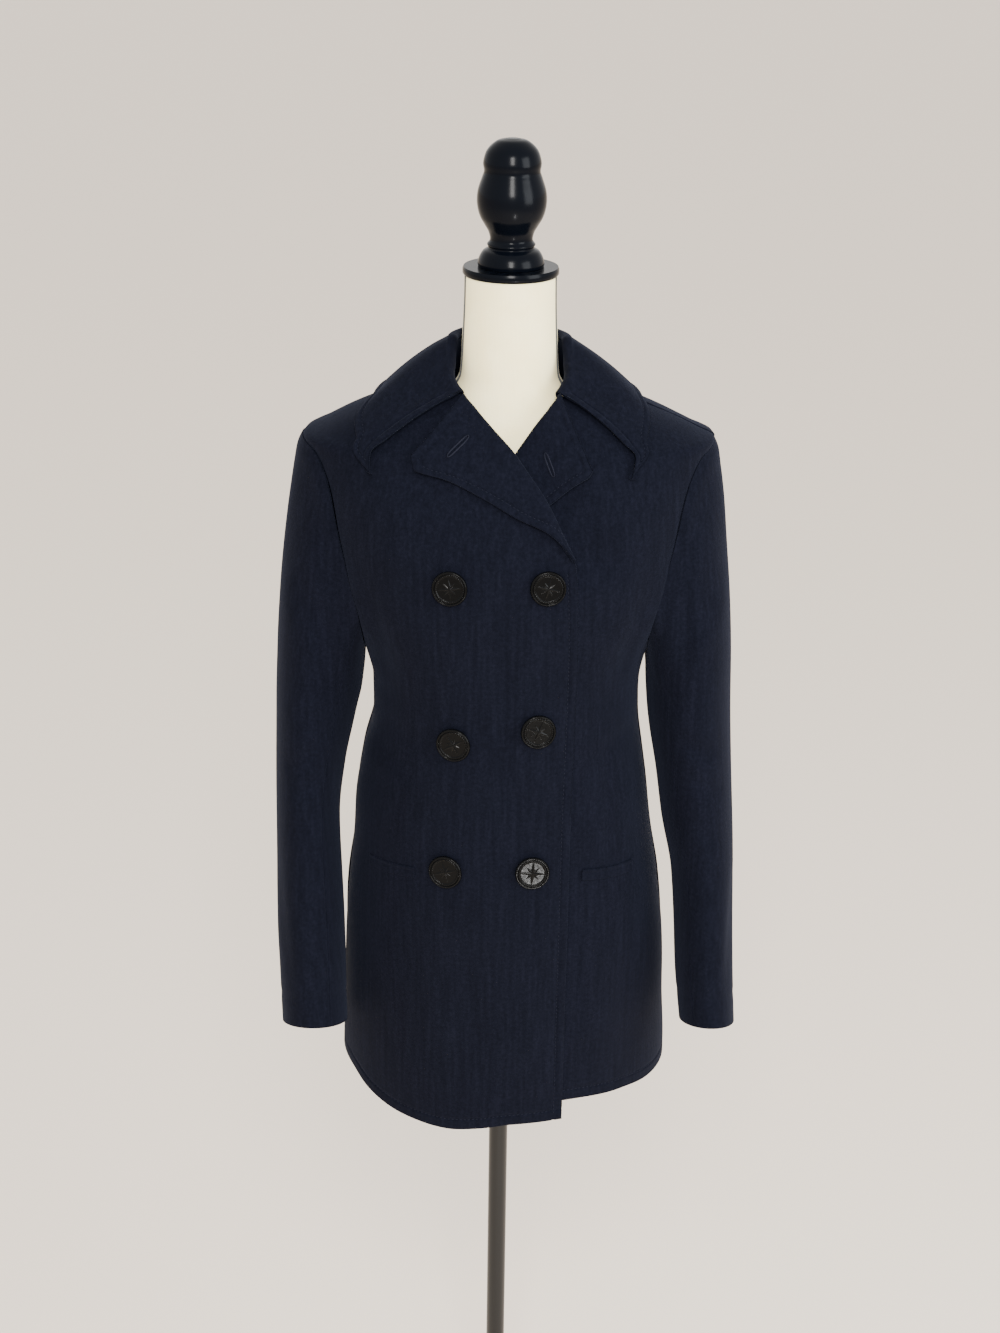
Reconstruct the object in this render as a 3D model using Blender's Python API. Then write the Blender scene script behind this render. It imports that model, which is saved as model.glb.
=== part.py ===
"""Pea coat, double breasted, worn closed on a limbless dress form with a turned stand.

Metres, +Z up. The origin is on the floor under the pole. The coat's front faces -Y, so the
wearer's left is +X. Every cloth piece is a wall cut from one body shape: horizontal sections
of the worn coat, each a rounded oval with its own width and its own front and back depth.
An angle of 0 on a section is the front centre, 90 degrees is +X and 180 degrees is the back.
"""

import math
from collections import namedtuple

import bmesh
import bpy
from mathutils import Vector

# ---- driving dimensions -------------------------------------------------------------------

CLOTH = 0.003            # one layer of melton with its lining
DOUBLED = 0.004          # collar, lapels: two layers turned out
SEAM_GAP = 0.0003        # between two pieces sewn together
LAID_GAP = 0.0012        # between a piece and the one that it lies on

UNDERARM_HEIGHT = 1.130
SHOULDER_HEIGHT = 1.3435
NECK_SEAM_HEIGHT = 1.395
BREAK_HEIGHT = 1.254     # where the lapels start to turn back
TUCK_START = 0.004       # the under front comes out from behind the over front's edge here
TUCK_WIDTH = 0.055       # and is level with the body shape this much further on
TUCK_RAMP = 0.025        # height in which it makes room for its own folded lapel

Section = namedtuple("Section", "height half_width front_depth back_depth centre_x squareness")
COAT_SECTIONS = (                     # squareness 2 is a true ellipse
    Section(0.640, 0.1700, 0.1400, 0.1255, 0.0040, 2.00),
    Section(0.750, 0.1670, 0.1420, 0.1240, 0.0030, 2.10),
    Section(0.820, 0.1645, 0.1435, 0.1210, 0.0030, 2.18),
    Section(0.880, 0.1590, 0.1440, 0.1170, 0.0015, 2.24),
    Section(0.930, 0.1520, 0.1435, 0.1130, 0.0000, 2.30),
    Section(0.975, 0.1475, 0.1420, 0.1090, -0.0010, 2.30),
    Section(1.020, 0.1400, 0.1400, 0.1070, -0.0010, 2.30),
    Section(1.065, 0.1325, 0.1380, 0.1070, 0.0010, 2.30),
    Section(1.100, 0.1325, 0.1375, 0.1080, 0.0010, 2.30),
    Section(1.130, 0.1380, 0.1370, 0.1090, 0.0000, 2.30),
    Section(1.190, 0.1630, 0.1375, 0.1120, 0.0000, 2.30),
    Section(1.240, 0.1750, 0.1360, 0.1130, 0.0000, 2.30),
    Section(1.285, 0.1840, 0.1265, 0.1110, 0.0000, 2.30),
    Section(1.330, 0.1935, 0.1040, 0.1010, 0.0000, 2.30),
    Section(1.3435, 0.1970, 0.0960, 0.0960, 0.0000, 2.30),
    Section(1.352, 0.1810, 0.0900, 0.0910, 0.0000, 2.30),
    Section(1.364, 0.1570, 0.0820, 0.0840, 0.0000, 2.30),
    Section(1.376, 0.1280, 0.0735, 0.0740, 0.0000, 2.30),
    Section(1.387, 0.0960, 0.0660, 0.0660, 0.0000, 2.30),
    Section(1.395, 0.0745, 0.0620, 0.0600, 0.0000, 2.30),
    Section(1.405, 0.0655, 0.0575, 0.0580, 0.0000, 2.30),
    Section(1.420, 0.0565, 0.0535, 0.0565, 0.0000, 2.20),
    Section(1.445, 0.0508, 0.0510, 0.0540, 0.0000, 2.10),
    Section(1.475, 0.0500, 0.0500, 0.0530, 0.0000, 2.10),
)

HemPoint = namedtuple("HemPoint", "angle height")
HEM_OVER = (                          # the over front dips below the under front
    HemPoint(-180, 0.6680), HemPoint(-135, 0.6700), HemPoint(-90, 0.6740),
    HemPoint(-69, 0.6700), HemPoint(-55, 0.6590), HemPoint(-37, 0.6485),
    HemPoint(-20, 0.6450), HemPoint(-8, 0.6490), HemPoint(3, 0.6545), HemPoint(25, 0.6570),
)
HEM_UNDER = (
    HemPoint(-45, 0.6770), HemPoint(25, 0.6768), HemPoint(45, 0.6745), HemPoint(62, 0.6690),
    HemPoint(90, 0.6660), HemPoint(135, 0.6670), HemPoint(180, 0.6680),
)

Armhole = namedtuple("Armhole", "height front_x back_x")
ARMHOLE = (
    Armhole(1.1300, 0.1380, 0.1380),
    Armhole(1.1500, 0.1380, 0.1395),
    Armhole(1.1750, 0.1400, 0.1440),
    Armhole(1.2200, 0.1500, 0.1550),
    Armhole(1.2620, 0.1600, 0.1640),
    Armhole(1.3050, 0.1690, 0.1720),
    Armhole(1.3350, 0.1830, 0.1850),
    Armhole(1.3435, 0.1970, 0.1970),
)

FrontEdge = namedtuple("FrontEdge", "height over_x under_x")
FRONT_EDGES = (                       # straight down the front, then up the two roll lines
    FrontEdge(0.640, 0.0650, -0.0800),
    FrontEdge(0.850, 0.0655, -0.0790),
    FrontEdge(1.000, 0.0660, -0.0785),
    FrontEdge(1.150, 0.0685, -0.0780),
    FrontEdge(1.220, 0.0672, -0.0750),
    FrontEdge(1.254, 0.0647, -0.0660),
    FrontEdge(1.278, 0.0532, -0.0500),
    FrontEdge(1.307, 0.0380, -0.0300),
    FrontEdge(1.331, 0.0202, -0.0110),
    FrontEdge(1.3495, 0.0050, 0.0050),
    FrontEdge(1.3680, -0.0145, 0.0215),
    FrontEdge(1.3830, -0.0300, 0.0355),
    FrontEdge(1.3950, -0.0405, 0.0435),
)

LapelRow = namedtuple("LapelRow", "roll_height edge_x edge_height")
LAPEL_OVER = (                        # the first row is the top edge, out to the point
    LapelRow(1.3925, -0.0893, 1.3442),
    LapelRow(1.3700, -0.0865, 1.3330),
    LapelRow(1.3500, -0.0560, 1.3255),
    LapelRow(1.3300, -0.0185, 1.3095),
    LapelRow(1.3100, 0.0080, 1.2960),
    LapelRow(1.2900, 0.0350, 1.2850),
    LapelRow(1.2720, 0.0510, 1.2715),
    LapelRow(1.2600, 0.0590, 1.2610),
)
LAPEL_UNDER = (
    LapelRow(1.3925, 0.0775, 1.3340),
    LapelRow(1.3700, 0.0745, 1.3290),
    LapelRow(1.3520, 0.0580, 1.3205),
    LapelRow(1.3350, 0.0365, 1.3065),
    LapelRow(1.3150, 0.0090, 1.2930),
    LapelRow(1.2950, -0.0200, 1.2830),
    LapelRow(1.2800, -0.0380, 1.2740),
    LapelRow(1.2650, -0.0520, 1.2630),
)

CollarRow = namedtuple("CollarRow", "fold_angle fold_height edge_angle edge_height")
COLLAR = (                            # from the wearer's right point, round the back, to the left
    CollarRow(-33.0, 1.3980, -37.5, 1.3265),
    CollarRow(-42.0, 1.4030, -40.5, 1.3350),
    CollarRow(-55.0, 1.4110, -46.0, 1.3490),
    CollarRow(-72.0, 1.4260, -62.0, 1.3630),
    CollarRow(-90.0, 1.4390, -90.0, 1.3765),
    CollarRow(-125.0, 1.4370, -125.0, 1.3780),
    CollarRow(-180.0, 1.4400, -180.0, 1.3600),
    CollarRow(-235.0, 1.4370, -235.0, 1.3785),
    CollarRow(-270.0, 1.4390, -270.0, 1.3775),
    CollarRow(-288.0, 1.4260, -301.0, 1.3670),
    CollarRow(-305.0, 1.4110, -318.0, 1.3520),
    CollarRow(-318.0, 1.4030, -325.5, 1.3350),
    CollarRow(-326.0, 1.3980, -327.5, 1.3255),
)
COLLAR_ROLL = 0.003      # how far the collar bulges between its fold and its edge
COLLAR_LAID = 40         # degrees from the front: up to here the collar lies on the chest,
COLLAR_TAUT = 78         # and from here round the back it is straight from fold to edge
COLLAR_REST = 0.0032     # how far its edge stays off the shoulders
LAPEL_REST = 0.0022      # how much further the under lapel stays off its front
STAND_DROP = 0.0060      # the stand's top edge, below the fold that covers it
STAND_LEAST = 0.0030     # the stand is at least this high at its two ends
STAND_RIGHT = -37        # degrees; the stand runs round the back from here
STAND_LEFT = -324        # to here
COLLAR_SHARES = (0.0, 0.05, 0.16, 0.36, 0.58, 0.80, 1.0)    # rows from the fold to the edge

SleeveRow = namedtuple(
    "SleeveRow",
    "right_outer_x outer_height right_inner_x inner_height left_outer_x left_inner_x "
    "half_depth right_y left_y tilt armhole_share",
)
SLEEVE = (                            # right is the wearer's right, at -X; tilt in degrees
    SleeveRow(0.1970, 1.3435, 0.1380, 1.130, 0.1970, 0.1380, 0.066, -0.008, -0.008, 0, 1.00),
    SleeveRow(0.2033, 1.3250, 0.1388, 1.121, 0.2030, 0.1388, 0.069, -0.008, -0.008, 0, 0.80),
    SleeveRow(0.2090, 1.2900, 0.1395, 1.110, 0.2090, 0.1398, 0.071, -0.009, -0.009, 0, 0.50),
    SleeveRow(0.2154, 1.2400, 0.1410, 1.097, 0.2140, 0.1405, 0.072, -0.010, -0.010, 0, 0.22),
    SleeveRow(0.2205, 1.1900, 0.1430, 1.083, 0.2185, 0.1415, 0.073, -0.011, -0.010, 0, 0.00),
    SleeveRow(0.2250, 1.1350, 0.1470, 1.067, 0.2222, 0.1430, 0.073, -0.014, -0.012, 0, 0.00),
    SleeveRow(0.2274, 1.0800, 0.1520, 1.045, 0.2248, 0.1460, 0.072, -0.020, -0.015, 1, 0.00),
    SleeveRow(0.2278, 1.0200, 0.1595, 1.008, 0.2284, 0.1525, 0.069, -0.028, -0.021, 4, 0.00),
    SleeveRow(0.2276, 0.9600, 0.1643, 0.957, 0.2318, 0.1600, 0.066, -0.040, -0.030, 8, 0.00),
    SleeveRow(0.2278, 0.9000, 0.1622, 0.900, 0.2347, 0.1719, 0.062, -0.052, -0.041, 12, 0.00),
    SleeveRow(0.2269, 0.8500, 0.1600, 0.850, 0.2363, 0.1757, 0.059, -0.063, -0.052, 15, 0.00),
    SleeveRow(0.2242, 0.8000, 0.1581, 0.800, 0.2382, 0.1778, 0.057, -0.074, -0.063, 17, 0.00),
    SleeveRow(0.2222, 0.7450, 0.1566, 0.745, 0.2406, 0.1834, 0.055, -0.085, -0.075, 19, 0.00),
)
SLEEVE_SPLIT_FRONT = 126     # degrees round the sleeve from its outer line, over the front
SLEEVE_SPLIT_BACK = 252
SLEEVE_START = 0.0006    # how far the sleeve's first ring stands off the armhole's edge

FORM_SECTIONS = (
    Section(0.760, 0.1280, 0.0980, 0.0900, 0.0020, 2.20),
    Section(0.800, 0.1400, 0.1080, 0.1010, 0.0015, 2.20),
    Section(0.860, 0.1420, 0.1110, 0.1010, 0.0000, 2.20),
    Section(0.930, 0.1300, 0.1060, 0.0900, 0.0000, 2.20),
    Section(1.010, 0.1130, 0.0980, 0.0790, 0.0000, 2.20),
    Section(1.080, 0.1150, 0.1060, 0.0820, 0.0000, 2.20),
    Section(1.150, 0.1220, 0.1180, 0.0890, 0.0000, 2.20),
    Section(1.210, 0.1330, 0.1200, 0.0930, 0.0000, 2.20),
    Section(1.265, 0.1450, 0.1080, 0.0920, 0.0000, 2.20),
    Section(1.310, 0.1480, 0.0900, 0.0840, 0.0000, 2.20),
    Section(1.340, 0.1280, 0.0740, 0.0740, 0.0000, 2.20),
    Section(1.362, 0.0950, 0.0620, 0.0640, 0.0000, 2.20),
    Section(1.382, 0.0620, 0.0520, 0.0540, 0.0000, 2.20),
    Section(1.405, 0.0470, 0.0465, 0.0475, 0.0000, 2.05),
    Section(1.440, 0.0450, 0.0445, 0.0455, 0.0000, 2.00),
    Section(1.480, 0.0437, 0.0437, 0.0440, 0.0000, 2.00),
    Section(1.497, 0.0435, 0.0435, 0.0435, 0.0000, 2.00),
)

Turned = namedtuple("Turned", "radius height")
NECK_PLATE = (Turned(0.0440, 1.4973), Turned(0.0453, 1.4990), Turned(0.0453, 1.5030),
              Turned(0.0444, 1.5050))
FINIAL = (
    Turned(0.0308, 1.5053), Turned(0.0312, 1.5090), Turned(0.0292, 1.5150),
    Turned(0.0262, 1.5195), Turned(0.0216, 1.5225), Turned(0.0226, 1.5258),
    Turned(0.0200, 1.5300), Turned(0.0214, 1.5370), Turned(0.0254, 1.5440),
    Turned(0.0298, 1.5520), Turned(0.0324, 1.5630), Turned(0.0318, 1.5750),
    Turned(0.0280, 1.5870), Turned(0.0262, 1.5930), Turned(0.0270, 1.6010),
    Turned(0.0235, 1.6120), Turned(0.0150, 1.6200), Turned(0.0060, 1.6225),
)
BASE = (Turned(0.1400, 0.0), Turned(0.1420, 0.0040), Turned(0.1400, 0.0120), Turned(0.1300, 0.0170),
        Turned(0.0900, 0.0220), Turned(0.0450, 0.0290), Turned(0.0260, 0.0420),
        Turned(0.0210, 0.0600), Turned(0.0180, 0.0640))
POLE_RADIUS = 0.0100
POLE_BOTTOM = 0.0643
POLE_TOP = 0.7597
POLE = (Turned(POLE_RADIUS, POLE_BOTTOM), Turned(POLE_RADIUS, POLE_TOP))

Spot = namedtuple("Spot", "name x height")
BUTTONS = (
    Spot("button_top_right", -0.0522, 1.2324),
    Spot("button_top_left", 0.0383, 1.2345),
    Spot("button_middle_right", -0.0477, 1.0746),
    Spot("button_middle_left", 0.0318, 1.0909),
    Spot("button_bottom_right", -0.0546, 0.9422),
    Spot("button_bottom_left", 0.0288, 0.9447),
)
BUTTON_PROFILE = (Turned(0.0060, 0.0), Turned(0.0150, 0.0008), Turned(0.0168, 0.0022),
                  Turned(0.0168, 0.0038), Turned(0.0152, 0.0048), Turned(0.0134, 0.0042))

Welt = namedtuple("Welt", "name inner_x inner_height outer_x outer_height width")
WELTS = (
    Welt("pocket_welt_left", 0.0790, 0.9400, 0.1285, 0.9341, 0.012),
    Welt("pocket_welt_right", -0.0850, 0.9400, -0.1310, 0.9341, 0.012),
)
WELT_THICKNESS = 0.0020

NAVY = (0.0075, 0.0090, 0.0210, 1.0)
NAVY_UNDER = (0.0070, 0.0085, 0.0195, 1.0)
BLACK_PLASTIC = (0.0040, 0.0040, 0.0050, 1.0)
BLACK_LACQUER = (0.0050, 0.0070, 0.0110, 1.0)
CREAM = (0.6000, 0.5250, 0.4000, 1.0)
CLOTH_ROUGHNESS = 0.9
JERSEY_ROUGHNESS = 0.8
PLASTIC_ROUGHNESS = 0.25
PLATE_ROUGHNESS = 0.2
FINIAL_ROUGHNESS = 0.15
ENAMEL_ROUGHNESS = 0.3

FRONT_STEPS = 11         # columns across each panel, and sides round each turned piece
BACK_STEPS = 8
LAPEL_STEPS = 6
WELT_STEPS = 6
FORM_SIDES = 24
PLATE_SIDES = 32
FINIAL_SIDES = 24
POLE_SIDES = 24
BASE_SIDES = 32
BUTTON_SIDES = 20
UNDER_CROWDING = 0.85    # below 1, the under front's columns crowd towards its armhole
SHARP_ANGLE = 50         # degrees; edges sharper than this are shaded as edges
SURFACE_STEP = 0.002     # metres and radians between the points that give a direction
TURN_STEP = 0.02         # radians, the same for a sleeve's rings
NEARLY = 1e-6            # heights and angles this close are the same

# ---- the shape of the worn coat -----------------------------------------------------------


def smooth(rows, column, at):
    """A value between the rows of a table, on a curve that never overshoots them."""
    heights = [row[0] for row in rows]
    values = [getattr(row, column) for row in rows]
    at = min(max(at, heights[0]), heights[-1])
    k = min(max(i for i in range(len(rows)) if heights[i] <= at), len(rows) - 2)
    rise = [(values[i + 1] - values[i]) / (heights[i + 1] - heights[i]) for i in range(len(rows) - 1)]

    def slope(i):
        if i == 0 or i == len(rows) - 1 or rise[i - 1] * rise[i] <= 0:
            return 0.0
        return 2.0 / (1.0 / rise[i - 1] + 1.0 / rise[i])

    span = heights[k + 1] - heights[k]
    u = (at - heights[k]) / span
    return (values[k] * (1 + 2 * u) * (1 - u) ** 2 + values[k + 1] * u * u * (3 - 2 * u)
            + span * u * (1 - u) * ((1 - u) * slope(k) - u * slope(k + 1)))


def oval(rows, angle, height):
    """The point at an angle round one horizontal section."""
    power = 2.0 / smooth(rows, "squareness", height)
    sine, cosine = math.sin(angle), math.cos(angle)
    depth = smooth(rows, "front_depth" if cosine > 0 else "back_depth", height)
    x = smooth(rows, "centre_x", height)
    x += smooth(rows, "half_width", height) * math.copysign(abs(sine) ** power, sine)
    return Vector((x, -depth * math.copysign(abs(cosine) ** power, cosine), height))


def surface(angle, height, out=0.0):
    """A point of the coat's body and the direction straight out of it there."""
    after, before = angle + SURFACE_STEP, angle - SURFACE_STEP
    above, below = height + SURFACE_STEP, height - SURFACE_STEP
    across = oval(COAT_SECTIONS, after, height) - oval(COAT_SECTIONS, before, height)
    rising = oval(COAT_SECTIONS, angle, above) - oval(COAT_SECTIONS, angle, below)
    normal = across.cross(rising).normalized()
    return oval(COAT_SECTIONS, angle, height) + normal * out, normal


def angle_at(x, height, behind=False):
    """The angle of the point with this x on the front, or on the back, of a section."""
    ratio = (x - smooth(COAT_SECTIONS, "centre_x", height)) / smooth(COAT_SECTIONS, "half_width", height)
    power = smooth(COAT_SECTIONS, "squareness", height) / 2.0
    ratio = math.copysign(min(abs(ratio), 1.0) ** power, ratio)
    return math.pi - math.asin(ratio) if behind else math.asin(ratio)


def armhole_height(turn):
    """Heights round the armhole: turn 0 is the shoulder's end, pi is the underarm."""
    middle = (SHOULDER_HEIGHT + UNDERARM_HEIGHT) / 2
    return middle + math.cos(turn) * (SHOULDER_HEIGHT - UNDERARM_HEIGHT) / 2


ARMHOLE_STEPS = 10
SKIRT_HEIGHTS = [0.640, 0.700, 0.760, 0.820, 0.880, 0.935, 0.985, 1.030, 1.065, 1.100]
SHOULDER_ROWS = [1.352, 1.364, 1.376, 1.387, NECK_SEAM_HEIGHT]
BODY_HEIGHTS = (
    SKIRT_HEIGHTS
    + [armhole_height(math.pi * (1 - k / ARMHOLE_STEPS)) for k in range(ARMHOLE_STEPS + 1)]
    + SHOULDER_ROWS
)


def hem_height(angle, table):
    """The hem's height at an angle round the coat."""
    return smooth(table, "height", math.degrees(angle))


# ---- turning rows of points into solids ---------------------------------------------------


def finish_object(name, bm, colour, roughness):
    """Turn a bmesh into a named object with a material of its own."""
    bmesh.ops.recalc_face_normals(bm, faces=bm.faces)
    if bm.calc_volume(signed=True) < 0:
        bmesh.ops.reverse_faces(bm, faces=bm.faces)
    mesh = bpy.data.meshes.new(name)
    bm.to_mesh(mesh)
    bm.free()
    material = bpy.data.materials.new(name)
    material.use_nodes = True
    shader = material.node_tree.nodes["Principled BSDF"]
    shader.inputs["Base Color"].default_value = colour
    shader.inputs["Roughness"].default_value = roughness
    shader.inputs["Metallic"].default_value = 0.0
    mesh.materials.append(material)
    mesh.shade_smooth()
    mesh.set_sharp_from_angle(angle=math.radians(SHARP_ANGLE))
    obj = bpy.data.objects.new(name, mesh)
    bpy.context.scene.collection.objects.link(obj)
    return obj


def cloth_wall(name, rows, thickness, colour=NAVY):
    """A cloth wall from rows of (outer point, outward direction)."""
    bm = bmesh.new()
    outer = [[bm.verts.new(p) for p, n in row] for row in rows]
    inner = [[bm.verts.new(p - n * thickness) for p, n in row] for row in rows]
    last = len(rows[0]) - 1
    for i in range(len(rows) - 1):
        for j in range(last):
            k = j + 1
            bm.faces.new((outer[i][j], outer[i][k], outer[i + 1][k], outer[i + 1][j]))
            bm.faces.new((inner[i][j], inner[i + 1][j], inner[i + 1][k], inner[i][k]))
    for i in (0, len(rows) - 1):
        for j in range(last):
            k = j + 1
            bm.faces.new((outer[i][j], inner[i][j], inner[i][k], outer[i][k]))
    for j in (0, last):
        for i in range(len(rows) - 1):
            bm.faces.new((outer[i][j], outer[i + 1][j], inner[i + 1][j], inner[i][j]))
    return finish_object(name, bm, colour, CLOTH_ROUGHNESS)


def pull_back(row, at_start, at_end, distance=SEAM_GAP / 2):
    """Draw the ends of a row in by half a seam gap."""
    row = list(row)
    for wanted, end, beside in ((at_start, 0, 1), (at_end, -1, -2)):
        if wanted:
            point, normal = row[end]
            row[end] = (point + (row[beside][0] - point).normalized() * distance, normal)
    return row


def turned(name, profile, sides, colour, roughness):
    """A lathe-turned solid from a profile of radii and heights, bottom to top."""
    bm = bmesh.new()
    rings = []
    for radius, height in profile:
        rings.append([
            bm.verts.new((radius * math.cos(2 * math.pi * k / sides),
                          radius * math.sin(2 * math.pi * k / sides), height))
            for k in range(sides)
        ])
    for low, high in zip(rings, rings[1:]):
        for k in range(sides):
            bm.faces.new((low[k], low[(k + 1) % sides], high[(k + 1) % sides], high[k]))
    bm.faces.new(reversed(rings[0]))
    bm.faces.new(rings[-1])
    return finish_object(name, bm, colour, roughness)


# ---- fronts and backs ---------------------------------------------------------------------


def end_angle(height, behind):
    """Where a panel ends: the side seam, the armhole's edge or the shoulder seam."""
    if height <= UNDERARM_HEIGHT + NEARLY or height >= SHOULDER_HEIGHT - NEARLY:
        return math.pi / 2
    return angle_at(smooth(ARMHOLE, "back_x" if behind else "front_x", height), height, behind)


def tuck(x, height):
    """How far the under front lies inside the body shape, to pass behind the over front."""
    edge = smooth(FRONT_EDGES, "over_x", height)
    depth = CLOTH + LAID_GAP
    lapel_zone = min(max((height - BREAK_HEIGHT + TUCK_RAMP) / TUCK_RAMP, 0.0), 1.0)
    depth += lapel_zone * (DOUBLED + 3 * LAID_GAP)
    away = min(max((x - edge - TUCK_START) / TUCK_WIDTH, 0.0), 1.0)
    return depth * (1 - away * away * (3 - 2 * away))


def front_panel(name, edge_column, side, tucked):
    """One front; side is +1 for the wearer's left."""
    rows = []
    for height in BODY_HEIGHTS:
        start = angle_at(smooth(FRONT_EDGES, edge_column, height), height)
        end = side * end_angle(height, False)
        row = []
        for k in range(FRONT_STEPS + 1):
            share = k / FRONT_STEPS
            if tucked:
                share = share ** UNDER_CROWDING
            angle = start + (end - start) * share
            level = height
            if height == BODY_HEIGHTS[0]:
                level = hem_height(angle, HEM_UNDER if tucked else HEM_OVER)
            point, normal = surface(angle, level)
            if tucked:
                point = point - normal * tuck(point.x, level)
            row.append((point, normal))
        at_seam = height <= UNDERARM_HEIGHT + NEARLY or height >= SHOULDER_HEIGHT - NEARLY
        rows.append(pull_back(row, False, at_seam))
    return cloth_wall(name, rows, CLOTH, NAVY_UNDER if tucked else NAVY)


def back_panel(name, side):
    """One half of the back, from the side and armhole to the centre back seam."""
    rows = []
    for height in BODY_HEIGHTS:
        start = end_angle(height, True)
        at_seam = height <= UNDERARM_HEIGHT + NEARLY or height >= SHOULDER_HEIGHT - NEARLY
        row = []
        for k in range(BACK_STEPS + 1):
            angle = side * (start + (math.pi - start) * k / BACK_STEPS)
            level = height
            if height == BODY_HEIGHTS[0]:
                level = hem_height(angle, HEM_OVER if side < 0 else HEM_UNDER)
            row.append(surface(angle, level))
        rows.append(pull_back(row, at_seam, True))
    return cloth_wall(name, rows, CLOTH)


# ---- sleeves ------------------------------------------------------------------------------


def armhole_point(turn, side):
    """A point of the armhole's edge, with the panel's outward direction there."""
    height = armhole_height(turn)
    behind = math.sin(turn) < 0
    if abs(math.sin(turn)) < NEARLY:
        return surface(side * math.pi / 2, height)
    return surface(side * end_angle(height, behind), height)


def sleeve_point(row, turn, side):
    """A point at a turn round one sleeve ring; turn 0 is the outer line, pi/2 the front."""
    first = SLEEVE[0]
    if side > 0:
        outer_x, inner_x, middle_y = row.left_outer_x, row.left_inner_x, row.left_y
    else:
        outer_x, inner_x, middle_y = row.right_outer_x, row.right_inner_x, row.right_y
    outer = Vector((side * outer_x, 0, row.outer_height))
    inner = Vector((side * inner_x, 0, row.inner_height))
    centre = (outer + inner) / 2 + Vector((0, middle_y, 0))
    tilt = math.radians(row.tilt)
    forward = Vector((0, -math.cos(tilt), math.sin(tilt))) * row.half_depth
    ring = centre + (outer - inner) / 2 * math.cos(turn) + forward * math.sin(turn)
    if not row.armhole_share:
        return ring
    share = (1 + math.cos(turn)) / 2
    outer_move = outer - Vector((side * first.right_outer_x, 0, first.outer_height))
    inner_move = inner - Vector((side * first.right_inner_x, 0, first.inner_height))
    moved = armhole_point(turn, side)[0] + outer_move * share + inner_move * (1 - share)
    return ring.lerp(moved, row.armhole_share)


def sleeve_rows(turns, side):
    """Rows of points and outward directions down a sleeve, for the turns asked for."""
    rows = []
    for k, row in enumerate(SLEEVE):
        before, after = SLEEVE[max(k - 1, 0)], SLEEVE[min(k + 1, len(SLEEVE) - 1)]
        points = []
        for turn in turns:
            point = sleeve_point(row, turn, side)
            along = sleeve_point(after, turn, side) - sleeve_point(before, turn, side)
            around = sleeve_point(row, turn + TURN_STEP, side)
            around -= sleeve_point(row, turn - TURN_STEP, side)
            normal = around.cross(along).normalized() * side
            if k == 0:
                panel_normal = armhole_point(turn, side)[1]
                share = (1 + math.cos(turn)) / 2
                away = (along - along.dot(panel_normal) * panel_normal * share).normalized()
                point = point + away * SLEEVE_START
                normal = (panel_normal * share + normal * (1 - share)).normalized()
            points.append((point, normal))
        rows.append(points)
    return rows


def sleeve(side, label):
    """The top sleeve and the under sleeve of one arm."""
    count = 2 * ARMHOLE_STEPS
    turns = [2 * math.pi * k / count for k in range(count)]
    front = math.radians(SLEEVE_SPLIT_FRONT)
    back = math.radians(SLEEVE_SPLIT_BACK)
    top = [t - 2 * math.pi for t in turns if t > back - NEARLY] + [t for t in turns if t < front + NEARLY]
    under = [t for t in turns if front - NEARLY < t < back + NEARLY]
    for name, chosen in (("sleeve_top_", top), ("sleeve_under_", under)):
        rows = [pull_back(row, True, True) for row in sleeve_rows(chosen, side)]
        cloth_wall(name + label, rows, CLOTH)


# ---- collar and lapels --------------------------------------------------------------------


def lapel(name, table, edge_column, tucked):
    """A turned-back front edge, lying on its own front from the roll line out to its point."""
    rows = []
    for line in table:
        roll_x = smooth(FRONT_EDGES, edge_column, line.roll_height)
        row = []
        for k in range(LAPEL_STEPS + 1):
            share = k / LAPEL_STEPS
            x = roll_x + (line.edge_x - roll_x) * share
            height = line.roll_height + (line.edge_height - line.roll_height) * share
            lift = DOUBLED + LAID_GAP + (LAPEL_REST - tuck(x, height) if tucked else 0.0)
            row.append(surface(angle_at(x, height), height, lift))
        rows.append(row)
    return cloth_wall(name, rows, DOUBLED, NAVY_UNDER if tucked else NAVY)


def collar_columns():
    """The collar's rows with one more between each two."""
    fine = []
    for a, b in zip(COLLAR, COLLAR[1:]):
        fine.append(a)
        fine.append(CollarRow(*[(u + v) / 2 for u, v in zip(a, b)]))
    return fine + [COLLAR[-1]]


def tautness(angle):
    """From 0, where the collar lies on the chest, to 1, where it is straight from fold to edge."""
    from_front = min(abs(angle), 360 - abs(angle))
    u = min(max((from_front - COLLAR_LAID) / (COLLAR_TAUT - COLLAR_LAID), 0.0), 1.0)
    return u * u * (3 - 2 * u)


def collar_fall():
    """The turned-down leaf of the collar, from its fold to its outer edge."""
    rows = []
    columns = collar_columns()
    for share in COLLAR_SHARES:
        row = []
        for line in columns:
            angle = math.radians(line.fold_angle + (line.edge_angle - line.fold_angle) * share)
            height = line.fold_height + (line.edge_height - line.fold_height) * share
            row.append(surface(angle, height, DOUBLED + COLLAR_REST if share else 0.0))
        rows.append(row)
    start, edge = rows[1], rows[-1]
    for share, row in list(zip(COLLAR_SHARES, rows))[2:-1]:
        along = (share - COLLAR_SHARES[1]) / (1 - COLLAR_SHARES[1])
        for k, line in enumerate(columns):
            point, normal = row[k]
            straight = start[k][0].lerp(edge[k][0], along)
            out = (start[k][1] + edge[k][1]).normalized()
            taut = tautness(line.fold_angle)
            point = point.lerp(straight + out * COLLAR_ROLL * math.sin(math.pi * along), taut)
            row[k] = (point, normal.lerp(out, taut).normalized())
    return cloth_wall("collar_fall", rows, DOUBLED)


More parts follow.
